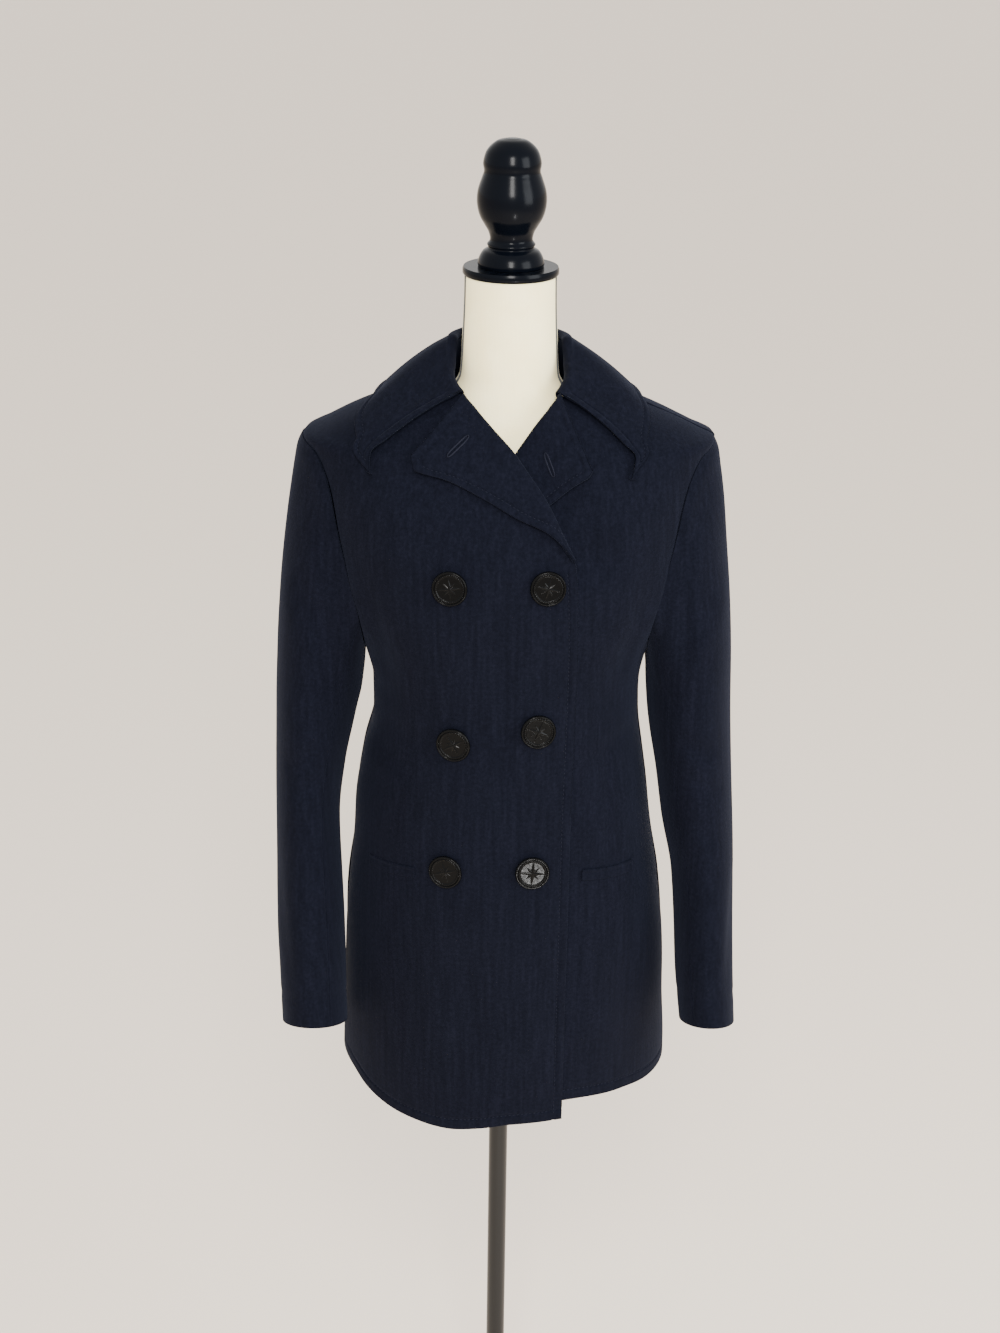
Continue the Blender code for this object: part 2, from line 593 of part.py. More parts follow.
def collar_stand():
    """The upright band between the neck seam and the fold."""
    rows = []
    columns = [line for line in collar_columns() if STAND_LEFT < line.fold_angle < STAND_RIGHT]
    for share in (0.0, 0.5, 1.0):
        row = []
        for line in columns:
            bottom = NECK_SEAM_HEIGHT + SEAM_GAP
            top = max(line.fold_height - STAND_DROP, bottom + STAND_LEAST)
            row.append(surface(math.radians(line.fold_angle), bottom + (top - bottom) * share))
        rows.append(row)
    return cloth_wall("collar_stand", rows, CLOTH)


# ---- pocket welts and buttons -------------------------------------------------------------


def pocket_welt(welt):
    """A narrow slanted band lying on its front; the left one follows the under front's tuck."""
    on_under = welt.inner_x > 0
    rows = []
    for down in (0.0, 1.0):
        row = []
        for k in range(WELT_STEPS + 1):
            share = k / WELT_STEPS
            x = welt.inner_x + (welt.outer_x - welt.inner_x) * share
            height = welt.inner_height + (welt.outer_height - welt.inner_height) * share
            height -= down * welt.width
            lift = WELT_THICKNESS + LAID_GAP - (tuck(x, height) if on_under else 0.0)
            row.append(surface(angle_at(x, height), height, lift))
        rows.append(row)
    return cloth_wall(welt.name, rows, WELT_THICKNESS, NAVY_UNDER)


def button(spot):
    """A moulded button with a raised rim, sewn flat on the over front."""
    obj = turned(spot.name, BUTTON_PROFILE, BUTTON_SIDES, BLACK_PLASTIC, PLASTIC_ROUGHNESS)
    point, normal = surface(angle_at(spot.x, spot.height), spot.height, SEAM_GAP)
    obj.location = point
    obj.rotation_mode = "QUATERNION"
    obj.rotation_quaternion = normal.to_track_quat("Z", "Y")
    return obj


# ---- dress form and stand -----------------------------------------------------------------


def form_torso():
    """The padded, cloth-covered torso and neck, with a flat underside."""
    bm = bmesh.new()
    rings = []
    for section in FORM_SECTIONS:
        rings.append([
            bm.verts.new(oval(FORM_SECTIONS, 2 * math.pi * k / FORM_SIDES, section.height))
            for k in range(FORM_SIDES)
        ])
    for low, high in zip(rings, rings[1:]):
        for k in range(FORM_SIDES):
            m = (k + 1) % FORM_SIDES
            bm.faces.new((low[k], low[m], high[m], high[k]))
    bm.faces.new(reversed(rings[0]))
    bm.faces.new(rings[-1])
    return finish_object("form_torso", bm, CREAM, JERSEY_ROUGHNESS)


def clear_scene():
    for obj in list(bpy.data.objects):
        bpy.data.objects.remove(obj, do_unlink=True)


clear_scene()
front_panel("front_over", "over_x", -1, False)
front_panel("front_under", "under_x", 1, True)
back_panel("back_right", -1)
back_panel("back_left", 1)
sleeve(-1, "right")
sleeve(1, "left")
collar_stand()
collar_fall()
lapel("lapel_over", LAPEL_OVER, "over_x", False)
lapel("lapel_under", LAPEL_UNDER, "under_x", True)
for one_welt in WELTS:
    pocket_welt(one_welt)
for one_button in BUTTONS:
    button(one_button)
form_torso()
turned("neck_plate", NECK_PLATE, PLATE_SIDES, BLACK_LACQUER, PLATE_ROUGHNESS)
turned("finial", FINIAL, FINIAL_SIDES, BLACK_LACQUER, FINIAL_ROUGHNESS)
turned("pole", POLE, POLE_SIDES, BLACK_LACQUER, ENAMEL_ROUGHNESS)
turned("base", BASE, BASE_SIDES, BLACK_LACQUER, ENAMEL_ROUGHNESS)
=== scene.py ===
import math
from collections import namedtuple

import bmesh
import bpy
import numpy as np
from mathutils import Matrix, Vector


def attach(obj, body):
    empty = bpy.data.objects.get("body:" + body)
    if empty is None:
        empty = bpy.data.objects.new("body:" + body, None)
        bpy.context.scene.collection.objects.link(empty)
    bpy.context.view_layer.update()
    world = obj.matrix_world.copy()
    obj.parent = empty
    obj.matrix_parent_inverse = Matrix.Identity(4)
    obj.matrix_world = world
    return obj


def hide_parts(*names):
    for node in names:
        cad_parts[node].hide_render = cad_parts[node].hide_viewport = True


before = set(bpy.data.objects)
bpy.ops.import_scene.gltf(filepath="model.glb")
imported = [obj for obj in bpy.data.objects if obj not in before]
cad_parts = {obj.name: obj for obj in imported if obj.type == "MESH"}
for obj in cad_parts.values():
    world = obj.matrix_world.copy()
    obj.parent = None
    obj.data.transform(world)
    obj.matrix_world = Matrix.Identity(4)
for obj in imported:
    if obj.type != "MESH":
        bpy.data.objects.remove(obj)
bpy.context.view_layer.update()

# ---- The two fronts --------------------------------------------------------------------------
# Navy wool melton, felted and napped. The wearer's right front laps over the left; both are
# turned in and topstitched at the edge and hem, and pressed to a soft roll above the break.

CLOTH = 0.0030
UNDERARM_HEIGHT = 1.130
SHOULDER_HEIGHT = 1.3435
NECK_SEAM_HEIGHT = 1.395
BREAK_HEIGHT = 1.254
HEM_BASE = 0.640
HEM_BLEND_TOP = 0.700
SEAM_EASE = 0.00015

Section = namedtuple("Section", "height half_width front_depth back_depth centre_x squareness")
WORN_COAT = (
    Section(0.640, 0.1700, 0.1400, 0.1255, 0.0040, 2.00),
    Section(0.750, 0.1670, 0.1420, 0.1240, 0.0030, 2.10),
    Section(0.820, 0.1645, 0.1435, 0.1210, 0.0030, 2.18),
    Section(0.880, 0.1590, 0.1440, 0.1170, 0.0015, 2.24),
    Section(0.930, 0.1520, 0.1435, 0.1130, 0.0000, 2.30),
    Section(0.975, 0.1475, 0.1420, 0.1090, -0.0010, 2.30),
    Section(1.020, 0.1400, 0.1400, 0.1070, -0.0010, 2.30),
    Section(1.065, 0.1325, 0.1380, 0.1070, 0.0010, 2.30),
    Section(1.100, 0.1325, 0.1375, 0.1080, 0.0010, 2.30),
    Section(1.130, 0.1380, 0.1370, 0.1090, 0.0000, 2.30),
    Section(1.190, 0.1630, 0.1375, 0.1120, 0.0000, 2.30),
    Section(1.240, 0.1750, 0.1360, 0.1130, 0.0000, 2.30),
    Section(1.285, 0.1840, 0.1265, 0.1110, 0.0000, 2.30),
    Section(1.330, 0.1935, 0.1040, 0.1010, 0.0000, 2.30),
    Section(1.3435, 0.1970, 0.0960, 0.0960, 0.0000, 2.30),
    Section(1.352, 0.1810, 0.0900, 0.0910, 0.0000, 2.30),
    Section(1.364, 0.1570, 0.0820, 0.0840, 0.0000, 2.30),
    Section(1.376, 0.1280, 0.0735, 0.0740, 0.0000, 2.30),
    Section(1.387, 0.0960, 0.0660, 0.0660, 0.0000, 2.30),
    Section(1.395, 0.0745, 0.0620, 0.0600, 0.0000, 2.30),
    Section(1.405, 0.0655, 0.0575, 0.0580, 0.0000, 2.30),
    Section(1.420, 0.0565, 0.0535, 0.0565, 0.0000, 2.20),
    Section(1.445, 0.0508, 0.0510, 0.0540, 0.0000, 2.10),
    Section(1.475, 0.0500, 0.0500, 0.0530, 0.0000, 2.10),
)

HemPoint = namedtuple("HemPoint", "angle height")
HEM_OVER = (
    HemPoint(-180, 0.6680), HemPoint(-135, 0.6700), HemPoint(-90, 0.6740),
    HemPoint(-69, 0.6700), HemPoint(-55, 0.6590), HemPoint(-37, 0.6485),
    HemPoint(-20, 0.6450), HemPoint(-8, 0.6490), HemPoint(3, 0.6545), HemPoint(25, 0.6570),
)
HEM_UNDER = (
    HemPoint(-45, 0.6770), HemPoint(25, 0.6768), HemPoint(45, 0.6745), HemPoint(62, 0.6690),
    HemPoint(90, 0.6660), HemPoint(135, 0.6670), HemPoint(180, 0.6680),
)

Armhole = namedtuple("Armhole", "height front_x back_x")
ARMHOLE = (
    Armhole(1.1300, 0.1380, 0.1380),
    Armhole(1.1500, 0.1380, 0.1395),
    Armhole(1.1750, 0.1400, 0.1440),
    Armhole(1.2200, 0.1500, 0.1550),
    Armhole(1.2620, 0.1600, 0.1640),
    Armhole(1.3050, 0.1690, 0.1720),
    Armhole(1.3350, 0.1830, 0.1850),
    Armhole(1.3435, 0.1970, 0.1970),
)

FrontEdge = namedtuple("FrontEdge", "height over_x under_x")
FRONT_EDGES = (
    FrontEdge(0.640, 0.0650, -0.0800),
    FrontEdge(0.850, 0.0655, -0.0790),
    FrontEdge(1.000, 0.0660, -0.0785),
    FrontEdge(1.150, 0.0685, -0.0780),
    FrontEdge(1.220, 0.0672, -0.0750),
    FrontEdge(1.254, 0.0647, -0.0660),
    FrontEdge(1.278, 0.0532, -0.0500),
    FrontEdge(1.307, 0.0380, -0.0300),
    FrontEdge(1.331, 0.0202, -0.0110),
    FrontEdge(1.3495, 0.0050, 0.0050),
    FrontEdge(1.3680, -0.0145, 0.0215),
    FrontEdge(1.3830, -0.0300, 0.0355),
    FrontEdge(1.3950, -0.0405, 0.0435),
)

Spot = namedtuple("Spot", "name x height lean_x lean_z turn")
BUTTONS = (
    Spot("button_top_right", -0.0522, 1.2324, 0.02, 0.03, 8),
    Spot("button_top_left", 0.0383, 1.2345, -0.02, 0.02, -14),
    Spot("button_middle_right", -0.0477, 1.0746, 0.03, -0.02, 31),
    Spot("button_middle_left", 0.0318, 1.0909, 0.00, 0.03, -22),
    Spot("button_bottom_right", -0.0546, 0.9422, -0.03, 0.02, 17),
    Spot("button_bottom_left", 0.0288, 0.9447, 0.00, 0.00, -5),
)

# Soft troughs: from one end to the other, how wide, and how deep (below zero, a ridge).
Crease = namedtuple("Crease", "x1 z1 x2 z2 width depth")
OVER_CREASES = (
    Crease(-0.130, 1.215, -0.118, 1.120, 0.012, 0.0035),
    Crease(-0.150, 1.235, -0.132, 1.150, 0.010, -0.0022),
    Crease(-0.112, 1.190, -0.106, 1.060, 0.016, 0.0018),
    Crease(-0.128, 1.075, -0.060, 1.066, 0.012, 0.0012),
    Crease(-0.126, 1.050, -0.085, 1.030, 0.011, 0.0015),
    Crease(-0.010, 1.180, 0.012, 1.010, 0.018, 0.0012),
    Crease(-0.085, 0.905, -0.100, 0.720, 0.022, 0.0022),
    Crease(-0.030, 0.880, -0.022, 0.700, 0.020, 0.0014),
    Crease(0.036, 0.900, 0.030, 0.690, 0.017, -0.0012),
    Crease(-0.064, 1.226, -0.064, 1.113, 0.0035, 0.0006),
)
UNDER_CREASES = (
    Crease(0.132, 1.215, 0.116, 1.130, 0.012, 0.0036),
    Crease(0.152, 1.230, 0.134, 1.160, 0.011, -0.0020),
    Crease(0.114, 1.175, 0.108, 1.075, 0.015, 0.0016),
    Crease(0.125, 1.068, 0.086, 1.050, 0.011, 0.0014),
    Crease(0.122, 0.900, 0.132, 0.720, 0.020, 0.0020),
    Crease(0.090, 0.880, 0.094, 0.740, 0.018, -0.0014),
    Crease(0.1001, 1.067, 0.1034, 0.946, 0.0035, 0.0009),
)


def smooth(rows, column, at):
    """Values between the rows of a table, on a curve that never overshoots them."""
    marks = np.array([row[0] for row in rows], float)
    values = np.array([getattr(row, column) for row in rows], float)
    at = np.clip(np.asarray(at, float), marks[0], marks[-1])
    k = np.clip(np.searchsorted(marks, at, side="right") - 1, 0, len(rows) - 2)
    rise = np.diff(values) / np.diff(marks)
    slope = np.zeros(len(rows))
    inner = slope[1:-1]
    same = rise[:-1] * rise[1:] > 0
    inner[same] = 2.0 / (1.0 / rise[:-1][same] + 1.0 / rise[1:][same])
    span = np.diff(marks)[k]
    u = (at - marks[k]) / span
    ends = values[k] * (1 + 2 * u) * (1 - u) ** 2 + values[k + 1] * u * u * (3 - 2 * u)
    return ends + span * u * (1 - u) * ((1 - u) * slope[k] - u * slope[k + 1])


def ramp(low, high, at):
    """From 0 at low to 1 at high, easing in and out."""
    u = np.clip((np.asarray(at, float) - low) / (high - low), 0.0, 1.0)
    return u * u * (3 - 2 * u)


def unit(vectors):
    return vectors / np.maximum(np.linalg.norm(vectors, axis=-1, keepdims=True), 1e-12)


def oval(rows, angle, height):
    """Points round horizontal sections: angle 0 is the front centre, 90 degrees is +X."""
    power = 2.0 / smooth(rows, "squareness", height)
    sine, cosine = np.sin(angle), np.cos(angle)
    depth = np.where(cosine > 0, smooth(rows, "front_depth", height), smooth(rows, "back_depth", height))
    x = smooth(rows, "centre_x", height)
    x = x + smooth(rows, "half_width", height) * np.sign(sine) * np.abs(sine) ** power
    y = -depth * np.sign(cosine) * np.abs(cosine) ** power
    return np.stack(np.broadcast_arrays(x, y, height), axis=-1).astype(float)


def coat_surface(angle, height):
    """Points of the worn coat's outer side, and the directions straight out of it."""
    step = 0.002
    across = oval(WORN_COAT, angle + step, height) - oval(WORN_COAT, angle - step, height)
    rising = oval(WORN_COAT, angle, height + step) - oval(WORN_COAT, angle, height - step)
    return oval(WORN_COAT, angle, height), unit(np.cross(across, rising))


def angle_at(x, height, behind=False):
    """The angle of the point with this x on the front, or on the back, of a section."""
    ratio = (x - smooth(WORN_COAT, "centre_x", height)) / smooth(WORN_COAT, "half_width", height)
    power = smooth(WORN_COAT, "squareness", height) / 2.0
    ratio = np.sign(ratio) * np.minimum(np.abs(ratio), 1.0) ** power
    return math.pi - np.arcsin(ratio) if behind else np.arcsin(ratio)


def end_angle(height, behind):
    """Where a panel ends: the side seam, the armhole's edge or the shoulder seam."""
    at_armhole = (height > UNDERARM_HEIGHT + 1e-6) & (height < SHOULDER_HEIGHT - 1e-6)
    edge = angle_at(smooth(ARMHOLE, "back_x" if behind else "front_x", height), height, behind)
    return np.where(at_armhole, edge, math.pi / 2)


def armhole_height(turn):
    middle = (SHOULDER_HEIGHT + UNDERARM_HEIGHT) / 2
    return middle + np.cos(turn) * (SHOULDER_HEIGHT - UNDERARM_HEIGHT) / 2


def body_heights():
    """Rows up a panel, close together at the hem and at the top of the armhole."""
    return np.concatenate([
        np.linspace(HEM_BASE, 0.662, 16)[:-1],
        np.linspace(0.662, UNDERARM_HEIGHT, 120)[:-1],
        armhole_height(np.linspace(math.pi, 0, 64))[:-1],
        np.linspace(SHOULDER_HEIGHT, NECK_SEAM_HEIGHT, 24),
    ])


def panel_levels(heights, angles, hem):
    """The rows' heights, with the lowest ones eased to follow the hem."""
    share = np.clip((HEM_BLEND_TOP - heights) / (HEM_BLEND_TOP - HEM_BASE), 0, 1)[:, None]
    return heights[:, None] + (smooth(hem, "height", np.degrees(angles)) - HEM_BASE) * share


def length_along(points, axis):
    """How far each point is from the first one, measured along the cloth."""
    steps = np.linalg.norm(np.diff(points, axis=axis), axis=-1)
    start = np.zeros_like(np.take(steps, [0], axis=axis))
    return np.concatenate([start, np.cumsum(steps, axis=axis)], axis=axis)


def troughs(across, up, creases):
    """How far the listed creases move the cloth out; each fades towards its two ends."""
    moved = np.zeros(np.broadcast(across, up).shape)
    for c in creases:
        run, rise = c.x2 - c.x1, c.z2 - c.z1
        t = ((across - c.x1) * run + (up - c.z1) * rise) / (run * run + rise * rise)
        inside = np.clip(t, 0, 1)
        away = np.hypot(across - c.x1 - inside * run, up - c.z1 - inside * rise)
        fade = 0.15 + 0.85 * np.sin(math.pi * inside) ** 0.7
        moved -= c.depth * fade * np.exp(-(away / c.width) ** 2)
    return moved


def unevenness(points, seed, size=0.0007):
    """The slight waviness of heavy cloth, from a few long waves."""
    draw = np.random.default_rng(seed)
    moved = np.zeros(points.shape[:-1])
    for _ in range(5):
        direction = draw.normal(size=3) * np.array([1.0, 1.0, 0.6])
        direction *= 2 * math.pi / draw.uniform(0.07, 0.20) / np.linalg.norm(direction)
        moved += np.sin(points @ direction + draw.uniform(0, 2 * math.pi))
    return moved * size / 2


def topstitched(distance, at):
    """The puffed edge of turned-in cloth and the groove that its topstitching pulls."""
    puff = 0.0008 * np.sin(math.pi * np.clip(distance / at, 0, 1)) ** 0.7
    return puff - 0.0010 * np.exp(-((distance - at) / 0.0015) ** 2)


def grid_normals(points, inside):
    """Directions out of a grid of points, away from the point that is inside it."""
    normals = unit(np.cross(np.gradient(points, axis=1), np.gradient(points, axis=0)))
    if np.sum(normals * (points - np.asarray(inside))) < 0:
        normals = -normals
    return normals


def new_piece(name, vertices, faces, material):
    """A smooth closed piece riding on the one body."""
    mesh = bpy.data.meshes.new(name)
    mesh.from_pydata([tuple(v) for v in vertices], [], faces)
    bm = bmesh.new()
    bm.from_mesh(mesh)
    bmesh.ops.recalc_face_normals(bm, faces=bm.faces)
    if bm.calc_volume(signed=True) < 0:
        bmesh.ops.reverse_faces(bm, faces=bm.faces)
    bm.to_mesh(mesh)
    bm.free()
    mesh.materials.append(material)
    mesh.shade_smooth()
    piece = bpy.data.objects.new(name, mesh)
    bpy.context.scene.collection.objects.link(piece)
    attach(piece, "root")
    return piece


def cloth_shell(name, outer, inside, material, thickness=CLOTH, round_by=0.0010, normals=None):
    """A closed cloth shell on a grid of its outer points, with rounded edges all round."""
    rows, columns = outer.shape[:2]
    normals = grid_normals(outer, inside) if normals is None else normals
    thickness = np.broadcast_to(thickness, (rows, columns))[..., None]
    ring = [(0, j) for j in range(columns)] + [(i, columns - 1) for i in range(1, rows)]
    ring += [(rows - 1, j) for j in range(columns - 2, -1, -1)]
    ring += [(i, 0) for i in range(rows - 2, 0, -1)]
    away = np.zeros_like(outer)
    away[0] += unit(outer[0] - outer[1])
    away[-1] += unit(outer[-1] - outer[-2])
    away[:, 0] += unit(outer[:, 0] - outer[:, 1])
    away[:, -1] += unit(outer[:, -1] - outer[:, -2])
    away = unit(away - np.sum(away * normals, axis=-1, keepdims=True) * normals)
    on_edge = np.zeros((rows, columns, 1), bool)
    on_edge[[0, -1]] = True
    on_edge[:, [0, -1]] = True
    front = np.where(on_edge, outer - away * (round_by + SEAM_EASE), outer)
    back = front - normals * thickness
    i_ring, j_ring = np.array(ring).T
    middle = (front + back)[i_ring, j_ring] / 2
    half = thickness[i_ring, j_ring] / 2
    n_ring, a_ring = normals[i_ring, j_ring], away[i_ring, j_ring]
    turns = np.radians([36, 72, 108, 144])
    rims = [middle + n_ring * half * math.cos(t) + a_ring * round_by * math.sin(t) for t in turns]
    vertices = np.concatenate([front.reshape(-1, 3), back.reshape(-1, 3), *rims])
    size = rows * columns
    loops = [i_ring * columns + j_ring]
    loops += [2 * size + len(ring) * k + np.arange(len(ring)) for k in range(len(turns))]
    loops += [size + loops[0]]
    faces = []
    for i in range(rows - 1):
        for j in range(columns - 1):
            a, b = i * columns + j, (i + 1) * columns + j
            faces.append((a, a + 1, b + 1, b))
            faces.append((size + a, size + b, size + b + 1, size + a + 1))
    for first, second in zip(loops, loops[1:]):
        first, second = first.tolist(), second.tolist()
        for k in range(len(ring)):
            m = (k + 1) % len(ring)
            faces.append((first[k], second[k], second[m], first[m]))
    return new_piece(name, vertices, faces, material)


def add_node(tree, kind, links=(), **values):
    """A shader node with its settings, and its inputs linked or set by name."""
    made = tree.nodes.new(kind)
    for key, value in values.items():
        setattr(made, key, value)
    for socket, value in dict(links).items():
        if isinstance(value, bpy.types.NodeSocket):
            tree.links.new(value, made.inputs[socket])
        else:
            made.inputs[socket].default_value = value
    return made


def plain_material(name, colour, roughness, **sockets):
    """A Principled material; sockets are set by their names, spaces as underscores."""
    material = bpy.data.materials.new(name)
    material.use_nodes = True
    shader = material.node_tree.nodes["Principled BSDF"]
    shader.inputs["Base Color"].default_value = (*colour, 1.0)
    shader.inputs["Roughness"].default_value = roughness
    for key, value in sockets.items():
        shader.inputs[key.replace("_", " ")].default_value = value
    return material, material.node_tree, shader


def ramp_node(tree, factor, stops):
    """A colour ramp with stops of (place, colour)."""
    made = add_node(tree, "ShaderNodeValToRGB", {"Fac": factor})
    made.color_ramp.elements[0].position, made.color_ramp.elements[1].position = stops[0][0], stops[-1][0]
    made.color_ramp.elements[0].color = (*stops[0][1], 1.0)
    made.color_ramp.elements[1].color = (*stops[-1][1], 1.0)
    for place, colour in stops[1:-1]:
        made.color_ramp.elements.new(place).color = (*colour, 1.0)
    return made.outputs["Color"]


def melton_cloth():
    """Felted wool: mottled navy, a faint upright nap, and a short soft pile."""
    material, tree, shader = plain_material(
        "navy_melton", (0.0025, 0.0030, 0.0065), 0.93, Specular_IOR_Level=0.05,
        Sheen_Weight=0.035, Sheen_Roughness=0.45, Sheen_Tint=(0.35, 0.42, 0.70, 1.0))
    place = add_node(tree, "ShaderNodeTexCoord").outputs["Object"]
    upright = add_node(tree, "ShaderNodeMapping", {"Vector": place, "Scale": (1.0, 1.0, 0.07)})
    upright = upright.outputs["Vector"]
    nap = add_node(tree, "ShaderNodeTexNoise", {"Vector": upright, "Scale": 230.0, "Detail": 3.0})
    felt = add_node(tree, "ShaderNodeTexNoise", {"Vector": place, "Scale": 900.0, "Detail": 4.0})
    mottle = add_node(tree, "ShaderNodeTexNoise", {"Vector": place, "Scale": 340.0, "Detail": 5.0})
    both = add_node(tree, "ShaderNodeMix", {0: 0.45, 2: mottle.outputs["Fac"], 3: nap.outputs["Fac"]})
    colour = ramp_node(tree, both.outputs[0], (
        (0.36, (0.0016, 0.0020, 0.0047)), (0.52, (0.0025, 0.0030, 0.0066)), (0.68, (0.0038, 0.0044, 0.0092))))
    tree.links.new(colour, shader.inputs["Base Color"])
    pile = add_node(tree, "ShaderNodeBump", {
        "Height": felt.outputs["Fac"], "Strength": 0.55, "Distance": 0.0006})
    streaks = add_node(tree, "ShaderNodeBump", {
        "Height": both.outputs[0], "Normal": pile.outputs["Normal"], "Strength": 0.35, "Distance": 0.0010})
    tree.links.new(streaks.outputs["Normal"], shader.inputs["Normal"])
    return material


MELTON = melton_cloth()
ROLL_REACH = 0.0035          # how far the soft roll stands beyond the front's own edge
TUCK_START = 0.004
TUCK_WIDTH = 0.055
TUCK_RAMP = 0.025
UNDER_DEPTH = 0.0042         # the under front lies this far inside, and more where its lapel folds
UNDER_LAPEL_DEPTH = 0.0076
EDGE_STITCH = 0.0095
HEM_STITCH = 0.0120
COAT_MIDDLE = (0.0, 0.0, 1.0)


def roll_inset(heights):
    return ROLL_REACH * ramp(BREAK_HEIGHT - 0.004, BREAK_HEIGHT + 0.030, heights)


def tuck(x, height):
    """How far the under front lies inside, to pass behind the over front."""
    zone = np.clip((height - BREAK_HEIGHT + TUCK_RAMP) / TUCK_RAMP, 0, 1)
    start = smooth(FRONT_EDGES, "over_x", height) + TUCK_START
    away = ramp(start, start + TUCK_WIDTH, x)
    return (UNDER_DEPTH + zone * UNDER_LAPEL_DEPTH) * (1 - away)


def button_dimples(x, z):
    """The cloth is drawn in a little where a button is sewn through it."""
    moved = np.zeros_like(x)
    for spot in BUTTONS:
        away = np.hypot(x - spot.x, z - spot.height)
        moved -= 0.0012 * np.exp(-(away / 0.017) ** 2)
    return moved


def front(name, node, edge_column, side, creases, seed):
    """One front; side is +1 for the wearer's left, which is the under one."""
    shares = np.concatenate([np.linspace(0, 0.055, 15)[:-1], np.linspace(0.055, 1, 108)])
    heights = body_heights()
    edge_x = smooth(FRONT_EDGES, edge_column, heights) + side * roll_inset(heights)
    start = angle_at(edge_x, heights)
    end = side * end_angle(heights, False)
    angles = start[:, None] + (end - start)[:, None] * shares
    levels = panel_levels(heights, angles, HEM_OVER if side < 0 else HEM_UNDER)
    points, normals = coat_surface(angles, levels)
    if side > 0:
        points = points - normals * tuck(points[..., 0], levels)[..., None]
    from_edge, from_hem = length_along(points, 1), length_along(points, 0)
    below_break = 1 - ramp(BREAK_HEIGHT - 0.02, BREAK_HEIGHT + 0.005, levels)
    out = topstitched(from_edge, EDGE_STITCH) * below_break
    out = np.where(from_hem < HEM_STITCH * 1.6, np.minimum(out, topstitched(from_hem, HEM_STITCH)), out)
    out = out + troughs(points[..., 0], levels, creases) + unevenness(points, seed)
    if side < 0:
        out = out + button_dimples(points[..., 0], levels)
    outer = points + normals * out[..., None]
    piece = cloth_shell(name, outer, COAT_MIDDLE, MELTON)
    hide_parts(node)
    return piece, outer, from_edge, from_hem


over_front, over_grid, over_from_edge, over_from_hem = front(
    "over_front", "front_over", "over_x", -1, OVER_CREASES, 11)
under_front, under_grid, under_from_edge, under_from_hem = front(
    "under_front", "front_under", "under_x", 1, UNDER_CREASES, 12)

# ---- The back --------------------------------------------------------------------------------
# Two halves of the same melton, joined down the centre back and to the fronts at the shoulders
# and sides. The seams are pressed open, which leaves a shallow valley along each.

BACK_CREASES = (
    Crease(-0.120, 1.260, -0.100, 1.130, 0.016, 0.0030),
    Crease(0.124, 1.250, 0.098, 1.140, 0.015, 0.0026),
    Crease(-0.060, 1.345, 0.010, 1.338, 0.014, 0.0016),
    Crease(0.015, 1.322, 0.075, 1.330, 0.012, 0.0013),
    Crease(-0.110, 1.075, -0.020, 1.062, 0.014, 0.0020),
    Crease(0.108, 1.060, 0.030, 1.045, 0.013, 0.0018),
    Crease(-0.040, 1.040, 0.050, 1.030, 0.012, 0.0012),
    Crease(-0.095, 0.900, -0.110, 0.720, 0.024, 0.0024),
    Crease(0.085, 0.910, 0.102, 0.700, 0.024, 0.0026),
    Crease(-0.045, 0.870, -0.050, 0.690, 0.020, -0.0014),
)
BACK_PIECES = (("right_back", "back_right", -1, 21), ("left_back", "back_left", 1, 22))
back_grids = []
for back_name, back_node, side, seed in BACK_PIECES:
    heights = body_heights()
    start = end_angle(heights, True)
    angles = side * (start[:, None] + (math.pi - start)[:, None] * np.linspace(0, 1, 84))
    levels = panel_levels(heights, angles, HEM_OVER if side < 0 else HEM_UNDER)
    points, normals = coat_surface(angles, levels)
    from_centre = length_along(points[:, ::-1], 1)[:, ::-1]
    from_hem = length_along(points, 0)
    out = topstitched(from_hem, HEM_STITCH) * (from_hem < HEM_STITCH * 1.6)
    out = out - 0.0006 * np.exp(-(from_centre / 0.004) ** 2)
    out = out + troughs(points[..., 0], levels, BACK_CREASES) + unevenness(points, seed)
    outer = points + normals * out[..., None]
    piece = cloth_shell(back_name, outer, COAT_MIDDLE, MELTON)
    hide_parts(back_node)
    back_grids.append((outer, from_hem))

# ---- The sleeves -----------------------------------------------------------------------------
# Each is cut in two, a top sleeve and a narrower under sleeve, sewn along the front and back of
# the arm and eased into the armhole. They hang with a slight bend and a few folds at the elbow.

